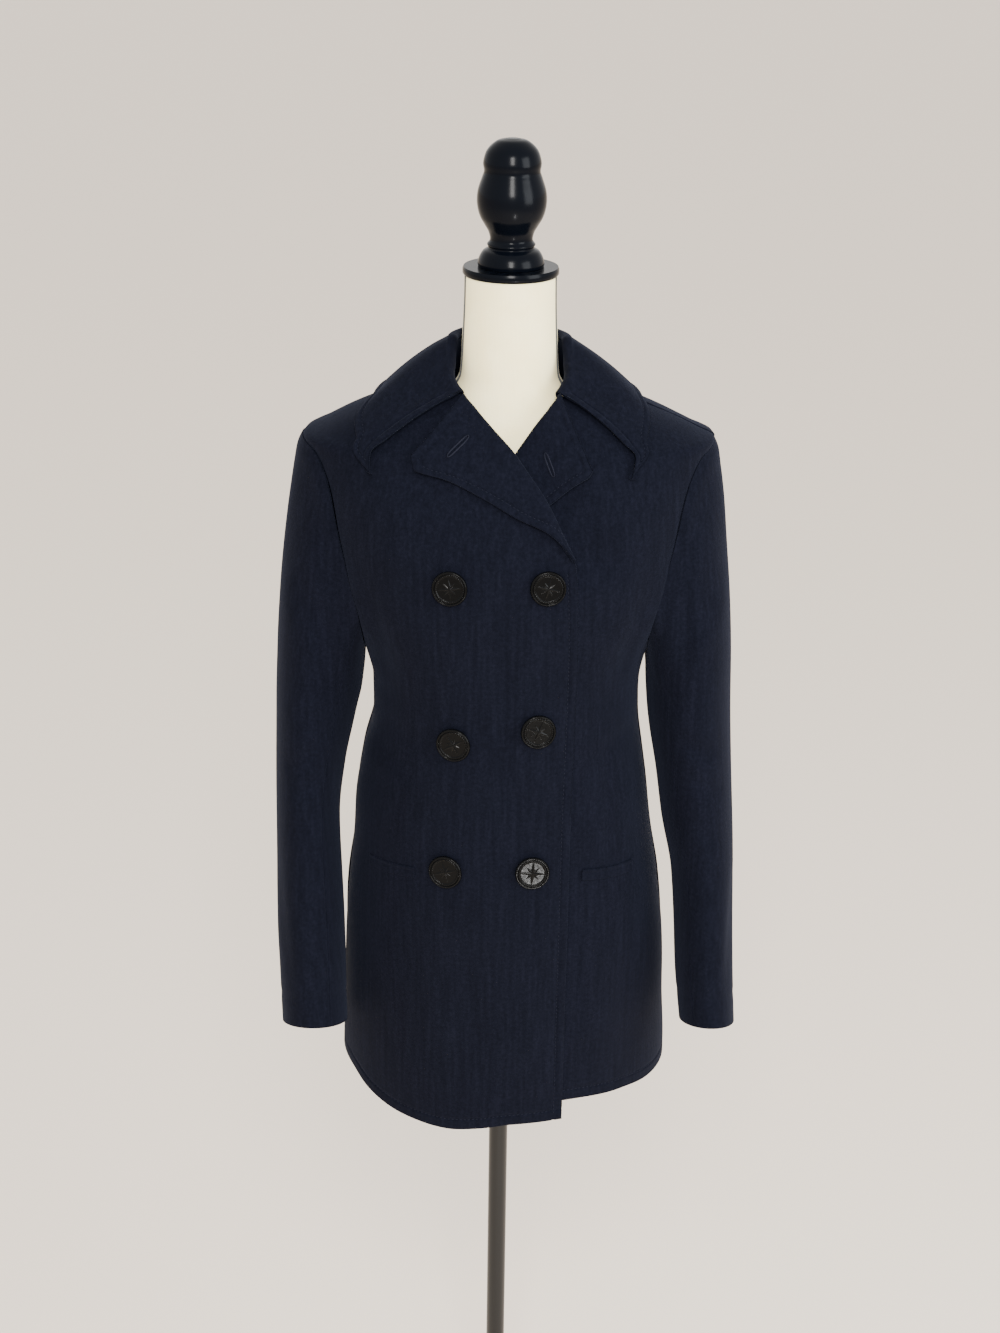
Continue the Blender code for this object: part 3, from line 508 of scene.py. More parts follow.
SleeveRow = namedtuple(
    "SleeveRow",
    "place right_outer_x outer_height right_inner_x inner_height left_outer_x left_inner_x "
    "half_depth right_y left_y tilt armhole_share",
)
SLEEVE = (
    SleeveRow(0, 0.1970, 1.3435, 0.1380, 1.130, 0.1970, 0.1380, 0.066, -0.008, -0.008, 0, 1.00),
    SleeveRow(1, 0.2033, 1.3250, 0.1388, 1.121, 0.2030, 0.1388, 0.069, -0.008, -0.008, 0, 0.80),
    SleeveRow(2, 0.2090, 1.2900, 0.1395, 1.110, 0.2090, 0.1398, 0.071, -0.009, -0.009, 0, 0.50),
    SleeveRow(3, 0.2154, 1.2400, 0.1410, 1.097, 0.2140, 0.1405, 0.072, -0.010, -0.010, 0, 0.22),
    SleeveRow(4, 0.2205, 1.1900, 0.1430, 1.083, 0.2185, 0.1415, 0.073, -0.011, -0.010, 0, 0.00),
    SleeveRow(5, 0.2250, 1.1350, 0.1470, 1.067, 0.2222, 0.1430, 0.073, -0.014, -0.012, 0, 0.00),
    SleeveRow(6, 0.2274, 1.0800, 0.1520, 1.045, 0.2248, 0.1460, 0.072, -0.020, -0.015, 1, 0.00),
    SleeveRow(7, 0.2278, 1.0200, 0.1595, 1.008, 0.2284, 0.1525, 0.069, -0.028, -0.021, 4, 0.00),
    SleeveRow(8, 0.2276, 0.9600, 0.1643, 0.957, 0.2318, 0.1600, 0.066, -0.040, -0.030, 8, 0.00),
    SleeveRow(9, 0.2278, 0.9000, 0.1622, 0.900, 0.2347, 0.1719, 0.062, -0.052, -0.041, 12, 0.00),
    SleeveRow(10, 0.2269, 0.8500, 0.1600, 0.850, 0.2363, 0.1757, 0.059, -0.063, -0.052, 15, 0.00),
    SleeveRow(11, 0.2242, 0.8000, 0.1581, 0.800, 0.2382, 0.1778, 0.057, -0.074, -0.063, 17, 0.00),
    SleeveRow(12, 0.2222, 0.7450, 0.1566, 0.745, 0.2406, 0.1834, 0.055, -0.085, -0.075, 19, 0.00),
)
SEAM_FRONT = 126             # degrees round the arm from its outer line, over the front
SEAM_BACK = 252
ARM_RADIUS = 0.055           # turns a degree round the arm into a length, for its creases
CUFF_STITCH = 0.030
# Across is the length round the arm from its outer line, over the front.
RIGHT_SLEEVE_CREASES = (
    Crease(0.075, 1.200, 0.100, 1.120, 0.010, 0.0034),
    Crease(0.048, 1.230, 0.066, 1.150, 0.011, 0.0018),
    Crease(0.105, 1.050, 0.052, 1.022, 0.010, 0.0030),
    Crease(0.110, 1.018, 0.064, 1.000, 0.009, 0.0024),
    Crease(0.100, 0.982, 0.060, 0.958, 0.010, 0.0018),
    Crease(-0.080, 1.060, -0.040, 1.030, 0.014, -0.0018),
    Crease(-0.090, 1.220, -0.060, 1.140, 0.013, 0.0022),
    Crease(0.030, 0.930, 0.052, 0.800, 0.015, 0.0014),
)
LEFT_SLEEVE_CREASES = (
    Crease(0.078, 1.210, 0.096, 1.135, 0.010, 0.0032),
    Crease(0.050, 1.240, 0.060, 1.165, 0.012, 0.0016),
    Crease(0.108, 1.062, 0.058, 1.040, 0.010, 0.0028),
    Crease(0.104, 1.026, 0.050, 0.998, 0.010, 0.0022),
    Crease(0.096, 0.975, 0.066, 0.950, 0.009, 0.0014),
    Crease(-0.084, 1.050, -0.034, 1.024, 0.014, -0.0020),
    Crease(-0.094, 1.230, -0.056, 1.150, 0.012, 0.0020),
    Crease(0.018, 0.915, 0.046, 0.790, 0.016, 0.0016),
)


def armhole_point(turn, side):
    """Points of the armhole's edge, where the sleeve is sewn in."""
    height = armhole_height(turn)
    ahead = coat_surface(side * end_angle(height, False), height)[0]
    behind = coat_surface(side * end_angle(height, True), height)[0]
    return np.where((np.sin(turn) < 0)[..., None], behind, ahead)


def sleeve_grid(places, turns, side):
    """Points down a sleeve: places run from the armhole, turns go round from the outer line."""
    arm = "left_" if side > 0 else "right_"
    down, around = np.meshgrid(places, turns, indexing="ij")
    zero = np.zeros_like(down)
    outer = np.stack([side * smooth(SLEEVE, arm + "outer_x", down), zero,
                      smooth(SLEEVE, "outer_height", down)], axis=-1)
    inner = np.stack([side * smooth(SLEEVE, arm + "inner_x", down), zero,
                      smooth(SLEEVE, "inner_height", down)], axis=-1)
    centre = (outer + inner) / 2
    centre[..., 1] += smooth(SLEEVE, arm + "y", down)
    tilt = np.radians(smooth(SLEEVE, "tilt", down))
    forward = np.stack([zero, -np.cos(tilt), np.sin(tilt)], axis=-1)
    forward = forward * smooth(SLEEVE, "half_depth", down)[..., None]
    ring = centre + (outer - inner) / 2 * np.cos(around)[..., None] + forward * np.sin(around)[..., None]
    share = ((1 + np.cos(around)) / 2)[..., None]
    moved = armhole_point(around, side) + (outer - outer[0]) * share + (inner - inner[0]) * (1 - share)
    blend = smooth(SLEEVE, "armhole_share", down)[..., None]
    return ring * (1 - blend) + moved * blend


for label, side, creases, seed in (
        ("right", -1, RIGHT_SLEEVE_CREASES, 31), ("left", 1, LEFT_SLEEVE_CREASES, 32)):
    for part, first, last, count in (
            ("top", SEAM_BACK - 360, SEAM_FRONT, 78), ("under", SEAM_FRONT, SEAM_BACK, 44)):
        turns = np.radians(np.linspace(first, last, count))
        places = 12 * np.linspace(0, 1, 170)
        points = sleeve_grid(places, turns, side)
        tube = sleeve_grid(places, np.linspace(0, 2 * math.pi, 25)[:-1], side).mean(axis=1)
        step = np.gradient(points, axis=1)
        normals = unit(np.cross(step, np.gradient(points, axis=0)))
        if np.sum(normals * (points - tube[:, None])) < 0:
            normals = -normals
        from_head = length_along(points, 0)
        from_cuff = from_head[-1] - from_head
        across = np.where(turns > math.pi, turns - 2 * math.pi, turns) * ARM_RADIUS
        out = troughs(across[None, :], points[..., 2], creases)
        out = out * ramp(0.0, 0.02, from_head) + unevenness(points, seed) * ramp(0.0, 0.03, from_head)
        eased = 0.0014 * np.exp(-((from_head - 0.010) / 0.010) ** 2) * ramp(-0.2, 0.6, np.cos(turns))
        out = out + eased - 0.0006 * np.exp(-((from_cuff - CUFF_STITCH) / 0.003) ** 2)
        outer = points + normals * out[..., None]
        piece = cloth_shell(f"{label}_{part}_sleeve", outer, (0, 0, 0), MELTON, normals=normals)
        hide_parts(f"sleeve_{part}_{label}")

# ---- The collar ------------------------------------------------------------------------------
# An upright stand sewn round the neck, and a wide fall that turns down over it at a soft fold.
# The fall is two layers turned out, so it is thicker, and topstitched round its free edges.

LEAF = 0.0040                # collar fall and lapels: two layers
FALL_SETTLE = 0.0012         # its edge lies this much nearer the coat than its fold
STAND_RIGHT = -35            # degrees; the band runs round the back of the neck from here
STAND_LEFT = -324            # to here
FOLD_DROP = 0.0050           # height of the rounded fold over the stand's top edge
FALL_LIFT = 0.0072           # the fall's outer side over the coat beneath, near the fold
FALL_ROLL = 0.0030
FALL_LAID = 40               # degrees from the front: up to here it lies on the chest,
FALL_TAUT = 78               # and from here round the back it is straight from fold to edge
CollarRow = namedtuple("CollarRow", "place fold_angle fold_height edge_angle edge_height")
COLLAR = (
    CollarRow(0, -33.0, 1.3980, -37.5, 1.3265),
    CollarRow(1, -42.0, 1.4030, -40.5, 1.3350),
    CollarRow(2, -55.0, 1.4110, -46.0, 1.3490),
    CollarRow(3, -72.0, 1.4260, -62.0, 1.3630),
    CollarRow(4, -90.0, 1.4390, -90.0, 1.3765),
    CollarRow(5, -125.0, 1.4370, -125.0, 1.3780),
    CollarRow(6, -180.0, 1.4400, -180.0, 1.3600),
    CollarRow(7, -235.0, 1.4370, -235.0, 1.3785),
    CollarRow(8, -270.0, 1.4390, -270.0, 1.3775),
    CollarRow(9, -288.0, 1.4260, -301.0, 1.3670),
    CollarRow(10, -305.0, 1.4110, -318.0, 1.3520),
    CollarRow(11, -318.0, 1.4030, -325.5, 1.3350),
    CollarRow(12, -326.0, 1.3980, -327.5, 1.3255),
)


def collar_lines(count):
    """Fold and edge, angle and height, at even places along the collar."""
    ends = 1.5 * np.sin(np.linspace(-math.pi / 2, math.pi / 2, count))
    places = 6 + 6 * (0.55 * ends / 1.5 + 0.45 * np.linspace(-1, 1, count))
    columns = [smooth(COLLAR, name, places) for name in CollarRow._fields[1:]]
    return np.radians(columns[0]), columns[1], np.radians(columns[2]), columns[3]


fold_angle, fold_height, edge_angle, edge_height = collar_lines(230)
inside_turns = np.radians(np.linspace(180, 12, 13))[:, None]
fold_middle, fold_half = (FALL_LIFT - CLOTH - 0.0004) / 2, (FALL_LIFT + CLOTH + 0.0004) / 2
roll_levels = fold_height - FOLD_DROP + FOLD_DROP * np.sin(inside_turns)
roll_lift = fold_middle + fold_half * np.cos(inside_turns)
roll_angles = np.broadcast_to(fold_angle, roll_levels.shape)
share = np.concatenate([np.linspace(0, 0.84, 26), np.linspace(0.84, 1, 12)[1:]])[:, None]
leaf_angles = fold_angle + (edge_angle - fold_angle) * share
leaf_levels = fold_height - FOLD_DROP + (edge_height - fold_height + FOLD_DROP) * share
leaf_lift = FALL_LIFT - FALL_SETTLE * share + 0 * leaf_angles
angles = np.concatenate([roll_angles, leaf_angles])
levels = np.concatenate([roll_levels, leaf_levels])
lift = np.concatenate([roll_lift + 0 * roll_levels, leaf_lift])
base, straight_out = coat_surface(angles, levels)
points = base + straight_out * lift[..., None]
from_front = np.minimum(np.abs(np.degrees(fold_angle)), 360 - np.abs(np.degrees(fold_angle)))
taut = ramp(FALL_LAID, FALL_TAUT, from_front)[None, :, None]
leaf_start, leaf_edge = points[13:14], points[-1:]
across_leaf = unit(straight_out[13:14] + straight_out[-1:])
bulge = FALL_ROLL * np.sin(math.pi * share)[..., None]
straight = leaf_start + (leaf_edge - leaf_start) * share[..., None] + across_leaf * bulge
points[13:] = points[13:] * (1 - taut) + straight * taut
straight_out[13:] = unit(straight_out[13:] * (1 - taut) + across_leaf * taut)
to_edge = length_along(points[::-1], 0)[::-1]
to_front = np.minimum(length_along(points, 1), length_along(points[:, ::-1], 1)[:, ::-1])
stitched = topstitched(np.minimum(to_edge, to_front), EDGE_STITCH)
stitched = stitched * ramp(14, 17, np.arange(len(points)))[:, None]
waver = unevenness(points, 41, 0.0006) * ramp(13, 20, np.arange(len(points)))[:, None]
points = points + straight_out * (stitched + waver)[..., None]
fold_normals = unit(np.cross(np.gradient(points, axis=1), np.gradient(points, axis=0)))
if np.sum(fold_normals[20:] * straight_out[20:]) < 0:
    fold_normals = -fold_normals
leaf_thickness = np.concatenate([np.full(13, 0.0018), np.linspace(0.0018, LEAF, 8), np.full(29, LEAF)])
collar_fall = cloth_shell("collar_leaf", points, (0, 0, 0), MELTON, leaf_thickness[:, None], 0.0014, fold_normals)
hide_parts("collar_fall")
collar_grid, collar_to_edge, collar_to_front = points, to_edge, to_front

stand_angle, stand_top = collar_lines(150)[:2]
stand_share = np.linspace(0, 1, 12)[:, None]
stand_levels = NECK_SEAM_HEIGHT + 0.0003 + (stand_top - 0.0060 - NECK_SEAM_HEIGHT) * stand_share
stand_levels = np.maximum(stand_levels, NECK_SEAM_HEIGHT + 0.0003 + 0.003 * stand_share)
in_range = (stand_angle < math.radians(STAND_RIGHT)) & (stand_angle > math.radians(STAND_LEFT))
stand_points = coat_surface(np.broadcast_to(stand_angle, stand_levels.shape), stand_levels)[0][:, in_range]
collar_stand = cloth_shell("collar_band", stand_points, (0.0, 0.0, 1.42), MELTON)
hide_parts("collar_stand")

# ---- The lapels ------------------------------------------------------------------------------
# The top of each front's facing, rolled outwards at the fold and laid back on the chest. The
# facing runs on round the roll, and each has a worked buttonhole near its point.

LapelRow = namedtuple("LapelRow", "place roll_height edge_x edge_height")
LAPEL_OVER = (
    LapelRow(0, 1.3925, -0.0893, 1.3442),
    LapelRow(1, 1.3700, -0.0865, 1.3330),
    LapelRow(2, 1.3500, -0.0560, 1.3255),
    LapelRow(3, 1.3300, -0.0185, 1.3095),
    LapelRow(4, 1.3100, 0.0080, 1.2960),
    LapelRow(5, 1.2900, 0.0350, 1.2850),
    LapelRow(6, 1.2720, 0.0510, 1.2715),
    LapelRow(7, 1.2600, 0.0590, 1.2610),
)
LAPEL_UNDER = (
    LapelRow(0, 1.3925, 0.0775, 1.3340),
    LapelRow(1, 1.3700, 0.0745, 1.3290),
    LapelRow(2, 1.3520, 0.0580, 1.3205),
    LapelRow(3, 1.3350, 0.0365, 1.3065),
    LapelRow(4, 1.3150, 0.0090, 1.2930),
    LapelRow(5, 1.2950, -0.0200, 1.2830),
    LapelRow(6, 1.2800, -0.0380, 1.2740),
    LapelRow(7, 1.2650, -0.0520, 1.2630),
)
LAPEL_REST = 0.0022
LAPEL_LIFT = 0.0052
BEHIND_FRONT = -0.0034       # where the facing starts, just behind the front's wall


def lapel(name, node, table, edge_column, side, seed):
    """A lapel from behind its front's edge, round the roll and out to its stitched edge."""
    places = np.concatenate([np.linspace(0, 1.2, 22)[:-1], np.linspace(1.2, 7, 74)])
    roll_height = smooth(table, "roll_height", places)
    edge_x, edge_height = smooth(table, "edge_x", places), smooth(table, "edge_height", places)
    roll_x = smooth(FRONT_EDGES, edge_column, roll_height) + side * roll_inset(roll_height)
    share = np.concatenate([np.linspace(0, 0.72, 22)[:-1], np.linspace(0.72, 1, 15)])
    x = roll_x[:, None] + (edge_x - roll_x)[:, None] * share
    z = roll_height[:, None] + (edge_height - roll_height)[:, None] * share
    rest = LAPEL_REST - tuck(x, z) if side > 0 else 0.0
    lift = LAPEL_LIFT + rest + 0 * x
    base, out = coat_surface(angle_at(x, z), z)
    leaf = base + out * lift[..., None]
    edge_out = out[:, :1]
    towards = unit(leaf[:, :1] - leaf[:, 4:5])
    towards = unit(towards - np.sum(towards * edge_out, axis=-1, keepdims=True) * edge_out)
    start_lift = lift[:, :1]
    back_lift = BEHIND_FRONT - (tuck(x[:, :1], z[:, :1]) if side > 0 else 0.0)
    middle, half = (start_lift + back_lift) / 2, (start_lift - back_lift) / 2
    turns = np.radians(np.linspace(180, 12, 13))
    reach = (roll_inset(roll_height)[:, None] + 0.0004) * np.sin(turns)
    roll = base[:, :1] + edge_out * (middle + half * np.cos(turns))[..., None] + towards * reach[..., None]
    points = np.concatenate([roll, leaf], axis=1)
    directions = np.concatenate([np.repeat(edge_out, len(turns), axis=1), out], axis=1)
    to_edge = length_along(points[:, ::-1], 1)[:, ::-1]
    to_top = length_along(points, 0)
    on_leaf = ramp(13, 18, np.arange(points.shape[1]))
    distance = np.minimum(to_edge, to_top)
    moved = (topstitched(distance, EDGE_STITCH) + unevenness(points, seed, 0.0005)) * on_leaf
    points = points + directions * moved[..., None]
    normals = unit(np.cross(np.gradient(points, axis=1), np.gradient(points, axis=0)))
    if np.sum(normals[:, 20:] * directions[:, 20:]) < 0:
        normals = -normals
    thickness = np.concatenate([np.full(13, 0.0014), np.linspace(0.0014, LEAF, 6), np.full(share.size - 6, LEAF)])
    piece = cloth_shell(name, points, (0, 0, 0), MELTON, thickness, 0.0013, normals)
    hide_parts(node)
    return piece, points, to_edge, to_top


over_lapel, over_lapel_grid, over_lapel_edge, over_lapel_top = lapel(
    "over_lapel", "lapel_over", LAPEL_OVER, "over_x", -1, 51)
under_lapel, under_lapel_grid, under_lapel_edge, under_lapel_top = lapel(
    "under_lapel", "lapel_under", LAPEL_UNDER, "under_x", 1, 52)

# ---- Topstitching ----------------------------------------------------------------------------
# One row of navy thread along every free edge, in stitches of about 4 mm that sink a little
# into the pile. It is sewn last, once the edges have been turned and pressed.

STITCH_STEP = 0.0042
STITCH_LENGTH = 0.0030
THREAD_RADIUS = 0.00042
THREAD = plain_material("navy_thread", (0.0042, 0.0050, 0.0110), 0.75, Specular_IOR_Level=0.12)[0]


def line_at(points, distance, at):
    """The points of each row where its distance reaches a value; distance rises along a row."""
    found = []
    for row, length in zip(points, distance):
        order = np.argsort(length)
        found.append([np.interp(at, length[order], row[order, axis]) for axis in range(3)])
    return np.array(found)


def stitches(name, path, inside):
    """Separate small stitches along a path on the cloth."""
    run = length_along(path[None], 1)[0]
    starts = np.arange(0.004, run[-1] - 0.006, STITCH_STEP)
    vertices, faces = [], []
    sides, rings = 6, ((0.0, 0.25), (0.2, 0.8), (0.5, 1.0), (0.8, 0.8), (1.0, 0.25))
    for start in starts:
        ends = [np.array([np.interp(start + s, run, path[:, a]) for a in range(3)])
                for s in (0.0, STITCH_LENGTH)]
        along = unit(ends[1] - ends[0])
        out = unit(ends[0] - np.asarray(inside))
        out = unit(out - out.dot(along) * along)
        beside = np.cross(along, out)
        first = len(vertices)
        for share, width in rings:
            centre = ends[0] + (ends[1] - ends[0]) * share + out * THREAD_RADIUS * (2.4 * width - 1.6)
            for k in range(sides):
                turn = 2 * math.pi * k / sides
                offset = out * math.cos(turn) + beside * math.sin(turn)
                vertices.append(centre + offset * THREAD_RADIUS * width)
        for r in range(len(rings) - 1):
            for k in range(sides):
                a, b = first + r * sides + k, first + r * sides + (k + 1) % sides
                faces.append((a, b, b + sides, a + sides))
        faces.append(tuple(first + k for k in reversed(range(sides))))
        faces.append(tuple(first + (len(rings) - 1) * sides + k for k in range(sides)))
    piece = new_piece(name, vertices, faces, THREAD)
    return piece


below_break = over_grid[:, 0, 2] < BREAK_HEIGHT - 0.004
over_edge_stitches = stitches(
    "over_front_stitches", line_at(over_grid[below_break], over_from_edge[below_break], EDGE_STITCH)[4:],
    COAT_MIDDLE)


def hem_stitches(name, grid, from_hem, trim):
    path = line_at(grid.transpose(1, 0, 2), from_hem.T, HEM_STITCH)
    return stitches(name, path[trim:], (0.0, 0.0, 0.66))


over_hem_stitches = hem_stitches("over_hem_stitches", over_grid, over_from_hem, 9)
under_hem_stitches = hem_stitches("under_hem_stitches", under_grid, under_from_hem, 9)
back_hem_stitches = [
    hem_stitches(f"{label}_back_hem_stitches", grid, distance, 0)
    for label, (grid, distance) in zip(("right", "left"), back_grids)
]
over_lapel_stitches = stitches(
    "over_lapel_stitches", line_at(over_lapel_grid[14:], over_lapel_edge[14:], EDGE_STITCH), (0, 0, 1.3))
under_lapel_stitches = stitches(
    "under_lapel_stitches", line_at(under_lapel_grid[14:], under_lapel_edge[14:], EDGE_STITCH), (0, 0, 1.3))
collar_stitches = stitches(
    "collar_stitches",
    line_at(collar_grid.transpose(1, 0, 2)[9:-9], collar_to_edge.T[9:-9], EDGE_STITCH), (0, 0, 1.33))

# ---- Lapel buttonholes -----------------------------------------------------------------------
# Each is a slit closed in by close zigzag thread, which stands up as a narrow ribbed oval.

Buttonhole = namedtuple("Buttonhole", "name x1 z1 x2 z2 under")
BUTTONHOLES = (
    Buttonhole("over_buttonhole", -0.0365, 1.3622, -0.0555, 1.3450, False),
    Buttonhole("under_buttonhole", 0.0337, 1.3504, 0.0422, 1.3319, True),
)
BUTTONHOLE_HALF_WIDTH = 0.0016
RIBS = 46
for hole in BUTTONHOLES:
    rib_count, sides = RIBS * 4, 8
    vertices, faces = [], []
    ends = np.array([[hole.x1, hole.z1], [hole.x2, hole.z2]])
    middle, half = ends.mean(axis=0), (ends[1] - ends[0]) / 2
    side_way = np.array([-half[1], half[0]]) / np.linalg.norm(half) * BUTTONHOLE_HALF_WIDTH
    for i in range(rib_count):
        turn = 2 * math.pi * i / rib_count
        squarish = np.sign(math.cos(turn)) * abs(math.cos(turn)) ** 0.5
        spot = middle + half * squarish + side_way * math.sin(turn)
        away = half / np.linalg.norm(half) * math.cos(turn) + side_way / BUTTONHOLE_HALF_WIDTH * math.sin(turn)
        radius = 0.00075 * (1 + 0.18 * math.cos(turn * RIBS))
        for k in range(sides):
            round_turn = 2 * math.pi * k / sides
            x, z = spot + away * radius * math.cos(round_turn)
            rest = LAPEL_REST - float(tuck(x, z)) if hole.under else 0.0
            base, out = coat_surface(angle_at(np.array(x), np.array(z)), np.array(z))
            vertices.append(base + out * (LAPEL_LIFT + rest + 0.0001 + radius * math.sin(round_turn)))
    for i in range(rib_count):
        for k in range(sides):
            a, b = i * sides + k, i * sides + (k + 1) % sides
            c, d = ((i + 1) % rib_count) * sides + (k + 1) % sides, ((i + 1) % rib_count) * sides + k
            faces.append((a, b, c, d))
    piece = new_piece(hole.name, vertices, faces, THREAD)

# ---- Pocket welts ----------------------------------------------------------------------------
# A narrow slanted band of melton finishes each hand pocket. It is pressed flat on the front,
# so only its top edge reads as a line.

Welt = namedtuple("Welt", "name node inner_x inner_height outer_x outer_height seed")
WELTS = (
    Welt("left_welt", "pocket_welt_left", 0.0790, 0.9400, 0.1285, 0.9341, 61),
    Welt("right_welt", "pocket_welt_right", -0.0850, 0.9400, -0.1310, 0.9341, 62),
)
WELT_WIDTH = 0.012
WELT_LIFT = 0.0016
for welt in WELTS:
    along = np.linspace(0, 1, 40)
    down = np.linspace(0, WELT_WIDTH, 12)[:, None]
    x = welt.inner_x + (welt.outer_x - welt.inner_x) * along + 0 * down
    z = welt.inner_height + (welt.outer_height - welt.inner_height) * along - down
    lift = WELT_LIFT - (tuck(x, z) if welt.inner_x > 0 else 0.0)
    base, out = coat_surface(angle_at(x, z), z)
    lift = lift + 0.0003 * topstitched(down + 0 * x, 0.004) / 0.0008 + unevenness(base, welt.seed, 0.0002)
    piece = cloth_shell(welt.name, base + out * lift[..., None], COAT_MIDDLE, MELTON, 0.0012, 0.0006)
    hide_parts(welt.node)

# ---- Buttons ---------------------------------------------------------------------------------
# Six moulded black buttons, sewn on by a shank behind: a smooth rim, a twisted rope ring inside
# it, and a raised compass star on the sunk face.

BUTTON_RADIUS = 0.0168
BUTTON_EDGE_HEIGHT = 0.0046
FIELD_HEIGHT = 0.0036
ROPE_RADIUS = 0.0131
ROPE_STRANDS = 40
STAR_HEIGHT = 0.0011
PLASTIC, plastic_tree, plastic_shader = plain_material(
    "black_button_plastic", (0.0014, 0.0015, 0.0017), 0.18, Specular_IOR_Level=0.08)
plastic_place = add_node(plastic_tree, "ShaderNodeTexCoord").outputs["Object"]
plastic_wear = add_node(plastic_tree, "ShaderNodeTexNoise", {
    "Vector": plastic_place, "Scale": 420.0, "Detail": 4.0})
plastic_rough = add_node(plastic_tree, "ShaderNodeMapRange", {
    "Value": plastic_wear.outputs["Fac"], "To Min": 0.10, "To Max": 0.30})
plastic_tree.links.new(plastic_rough.outputs["Result"], plastic_shader.inputs["Roughness"])
plastic_bump = add_node(plastic_tree, "ShaderNodeBump", {
    "Height": plastic_wear.outputs["Fac"], "Strength": 0.12, "Distance": 0.0002})
plastic_tree.links.new(plastic_bump.outputs["Normal"], plastic_shader.inputs["Normal"])


def button_face(radius, turn):
    """Height of a button's moulded face over its back."""
    rim = ramp(0.0142, 0.0150, radius) * (BUTTON_EDGE_HEIGHT - FIELD_HEIGHT)
    rounded = 0.0016 * np.clip((radius - 0.0156) / (BUTTON_RADIUS - 0.0156), 0, 1) ** 2
    strand = 0.5 + 0.5 * np.cos(turn * ROPE_STRANDS + radius * 2600)
    rope = (0.0006 + 0.0003 * strand) * np.exp(-((radius - ROPE_RADIUS) / 0.0009) ** 4)
    around = np.mod(turn, math.pi / 2)
    from_arm = np.abs(around - math.pi / 4)
    long_reach = 0.0112 * math.sin(0.18) / np.sin(0.18 + math.pi / 4 - from_arm)
    short_reach = 0.0078 * math.sin(0.24) / np.sin(0.24 + from_arm)
    long_star = np.clip(1 - radius / np.maximum(long_reach, 1e-4), 0, 1)
    short_star = np.clip(1 - radius / np.maximum(short_reach, 1e-4), 0, 1)
    star = STAR_HEIGHT * np.maximum(long_star ** 0.6, short_star ** 0.6 * 0.85)
    return FIELD_HEIGHT + rim - rounded + rope + star


radii = np.concatenate([np.linspace(0.0003, 0.0118, 30), np.linspace(0.0121, 0.0146, 13),
                        np.linspace(0.0148, BUTTON_RADIUS, 10)])
button_turns = np.linspace(0, 2 * math.pi, 160, endpoint=False)
rho, phi = np.meshgrid(radii, button_turns, indexing="ij")
face_rings = np.stack([rho * np.cos(phi), rho * np.sin(phi), button_face(rho, phi)], axis=-1)
under_profile = ((BUTTON_RADIUS, 0.0024), (0.0163, 0.0014), (0.0150, 0.0008), (0.0060, 0.0004), (0.0045, 0.0))
under_rings = np.array([[(r * math.cos(t), r * math.sin(t), h) for t in button_turns]
                        for r, h in under_profile])
button_rings = np.concatenate([face_rings, under_rings])
for spot in BUTTONS:
    ring_count, around = button_rings.shape[:2]
    faces = [tuple(range(around)), tuple((ring_count - 1) * around + k for k in reversed(range(around)))]
    for r in range(ring_count - 1):
        for k in range(around):
            m = (k + 1) % around
            faces.append((r * around + k, (r + 1) * around + k, (r + 1) * around + m, r * around + m))
    place, facing = coat_surface(angle_at(np.array(spot.x), np.array(spot.height)), np.array(spot.height))
    facing = Vector(facing + np.array([spot.lean_x, 0.0, spot.lean_z])).normalized()
    turned_to = facing.to_track_quat("Z", "Y").to_matrix().to_4x4()
    where = Matrix.Translation(Vector(place) + facing * 0.0003) @ turned_to
    where = where @ Matrix.Rotation(math.radians(spot.turn), 4, "Z")
    turned_points = [where @ Vector(v) for v in button_rings.reshape(-1, 3)]
    piece = new_piece(spot.name + "_moulded", turned_points, faces, PLASTIC)
    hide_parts(spot.name)

# ---- Dress form ------------------------------------------------------------------------------
# A foam torso and neck without limbs, covered in cream jersey that is pulled tight. A narrow
# dark band painted down each side stands in for the shade along the neck's edges.

DRESS_FORM = (
    Section(0.760, 0.1280, 0.0980, 0.0900, 0.0020, 2.20),
    Section(0.800, 0.1400, 0.1080, 0.1010, 0.0015, 2.20),
    Section(0.860, 0.1420, 0.1110, 0.1010, 0.0000, 2.20),
    Section(0.930, 0.1300, 0.1060, 0.0900, 0.0000, 2.20),
    Section(1.010, 0.1130, 0.0980, 0.0790, 0.0000, 2.20),
    Section(1.080, 0.1150, 0.1060, 0.0820, 0.0000, 2.20),
    Section(1.150, 0.1220, 0.1180, 0.0890, 0.0000, 2.20),
    Section(1.210, 0.1330, 0.1200, 0.0930, 0.0000, 2.20),
    Section(1.265, 0.1450, 0.1080, 0.0920, 0.0000, 2.20),
    Section(1.310, 0.1480, 0.0900, 0.0840, 0.0000, 2.20),
    Section(1.340, 0.1280, 0.0740, 0.0740, 0.0000, 2.20),
    Section(1.362, 0.0950, 0.0620, 0.0640, 0.0000, 2.20),
    Section(1.382, 0.0620, 0.0520, 0.0540, 0.0000, 2.20),
    Section(1.405, 0.0470, 0.0465, 0.0475, 0.0000, 2.05),
    Section(1.440, 0.0450, 0.0445, 0.0455, 0.0000, 2.00),
    Section(1.480, 0.0437, 0.0437, 0.0440, 0.0000, 2.00),
    Section(1.497, 0.0435, 0.0435, 0.0435, 0.0000, 2.00),
)
JERSEY, jersey_tree, jersey_shader = plain_material(
    "cream_jersey", (0.95, 0.84, 0.48), 0.85, Sheen_Weight=0.12, Specular_IOR_Level=0.25)
jersey_place = add_node(jersey_tree, "ShaderNodeTexCoord").outputs["Object"]
wales = add_node(jersey_tree, "ShaderNodeTexWave", {
    "Vector": jersey_place, "Scale": 260.0, "Distortion": 1.2}, bands_direction="X")
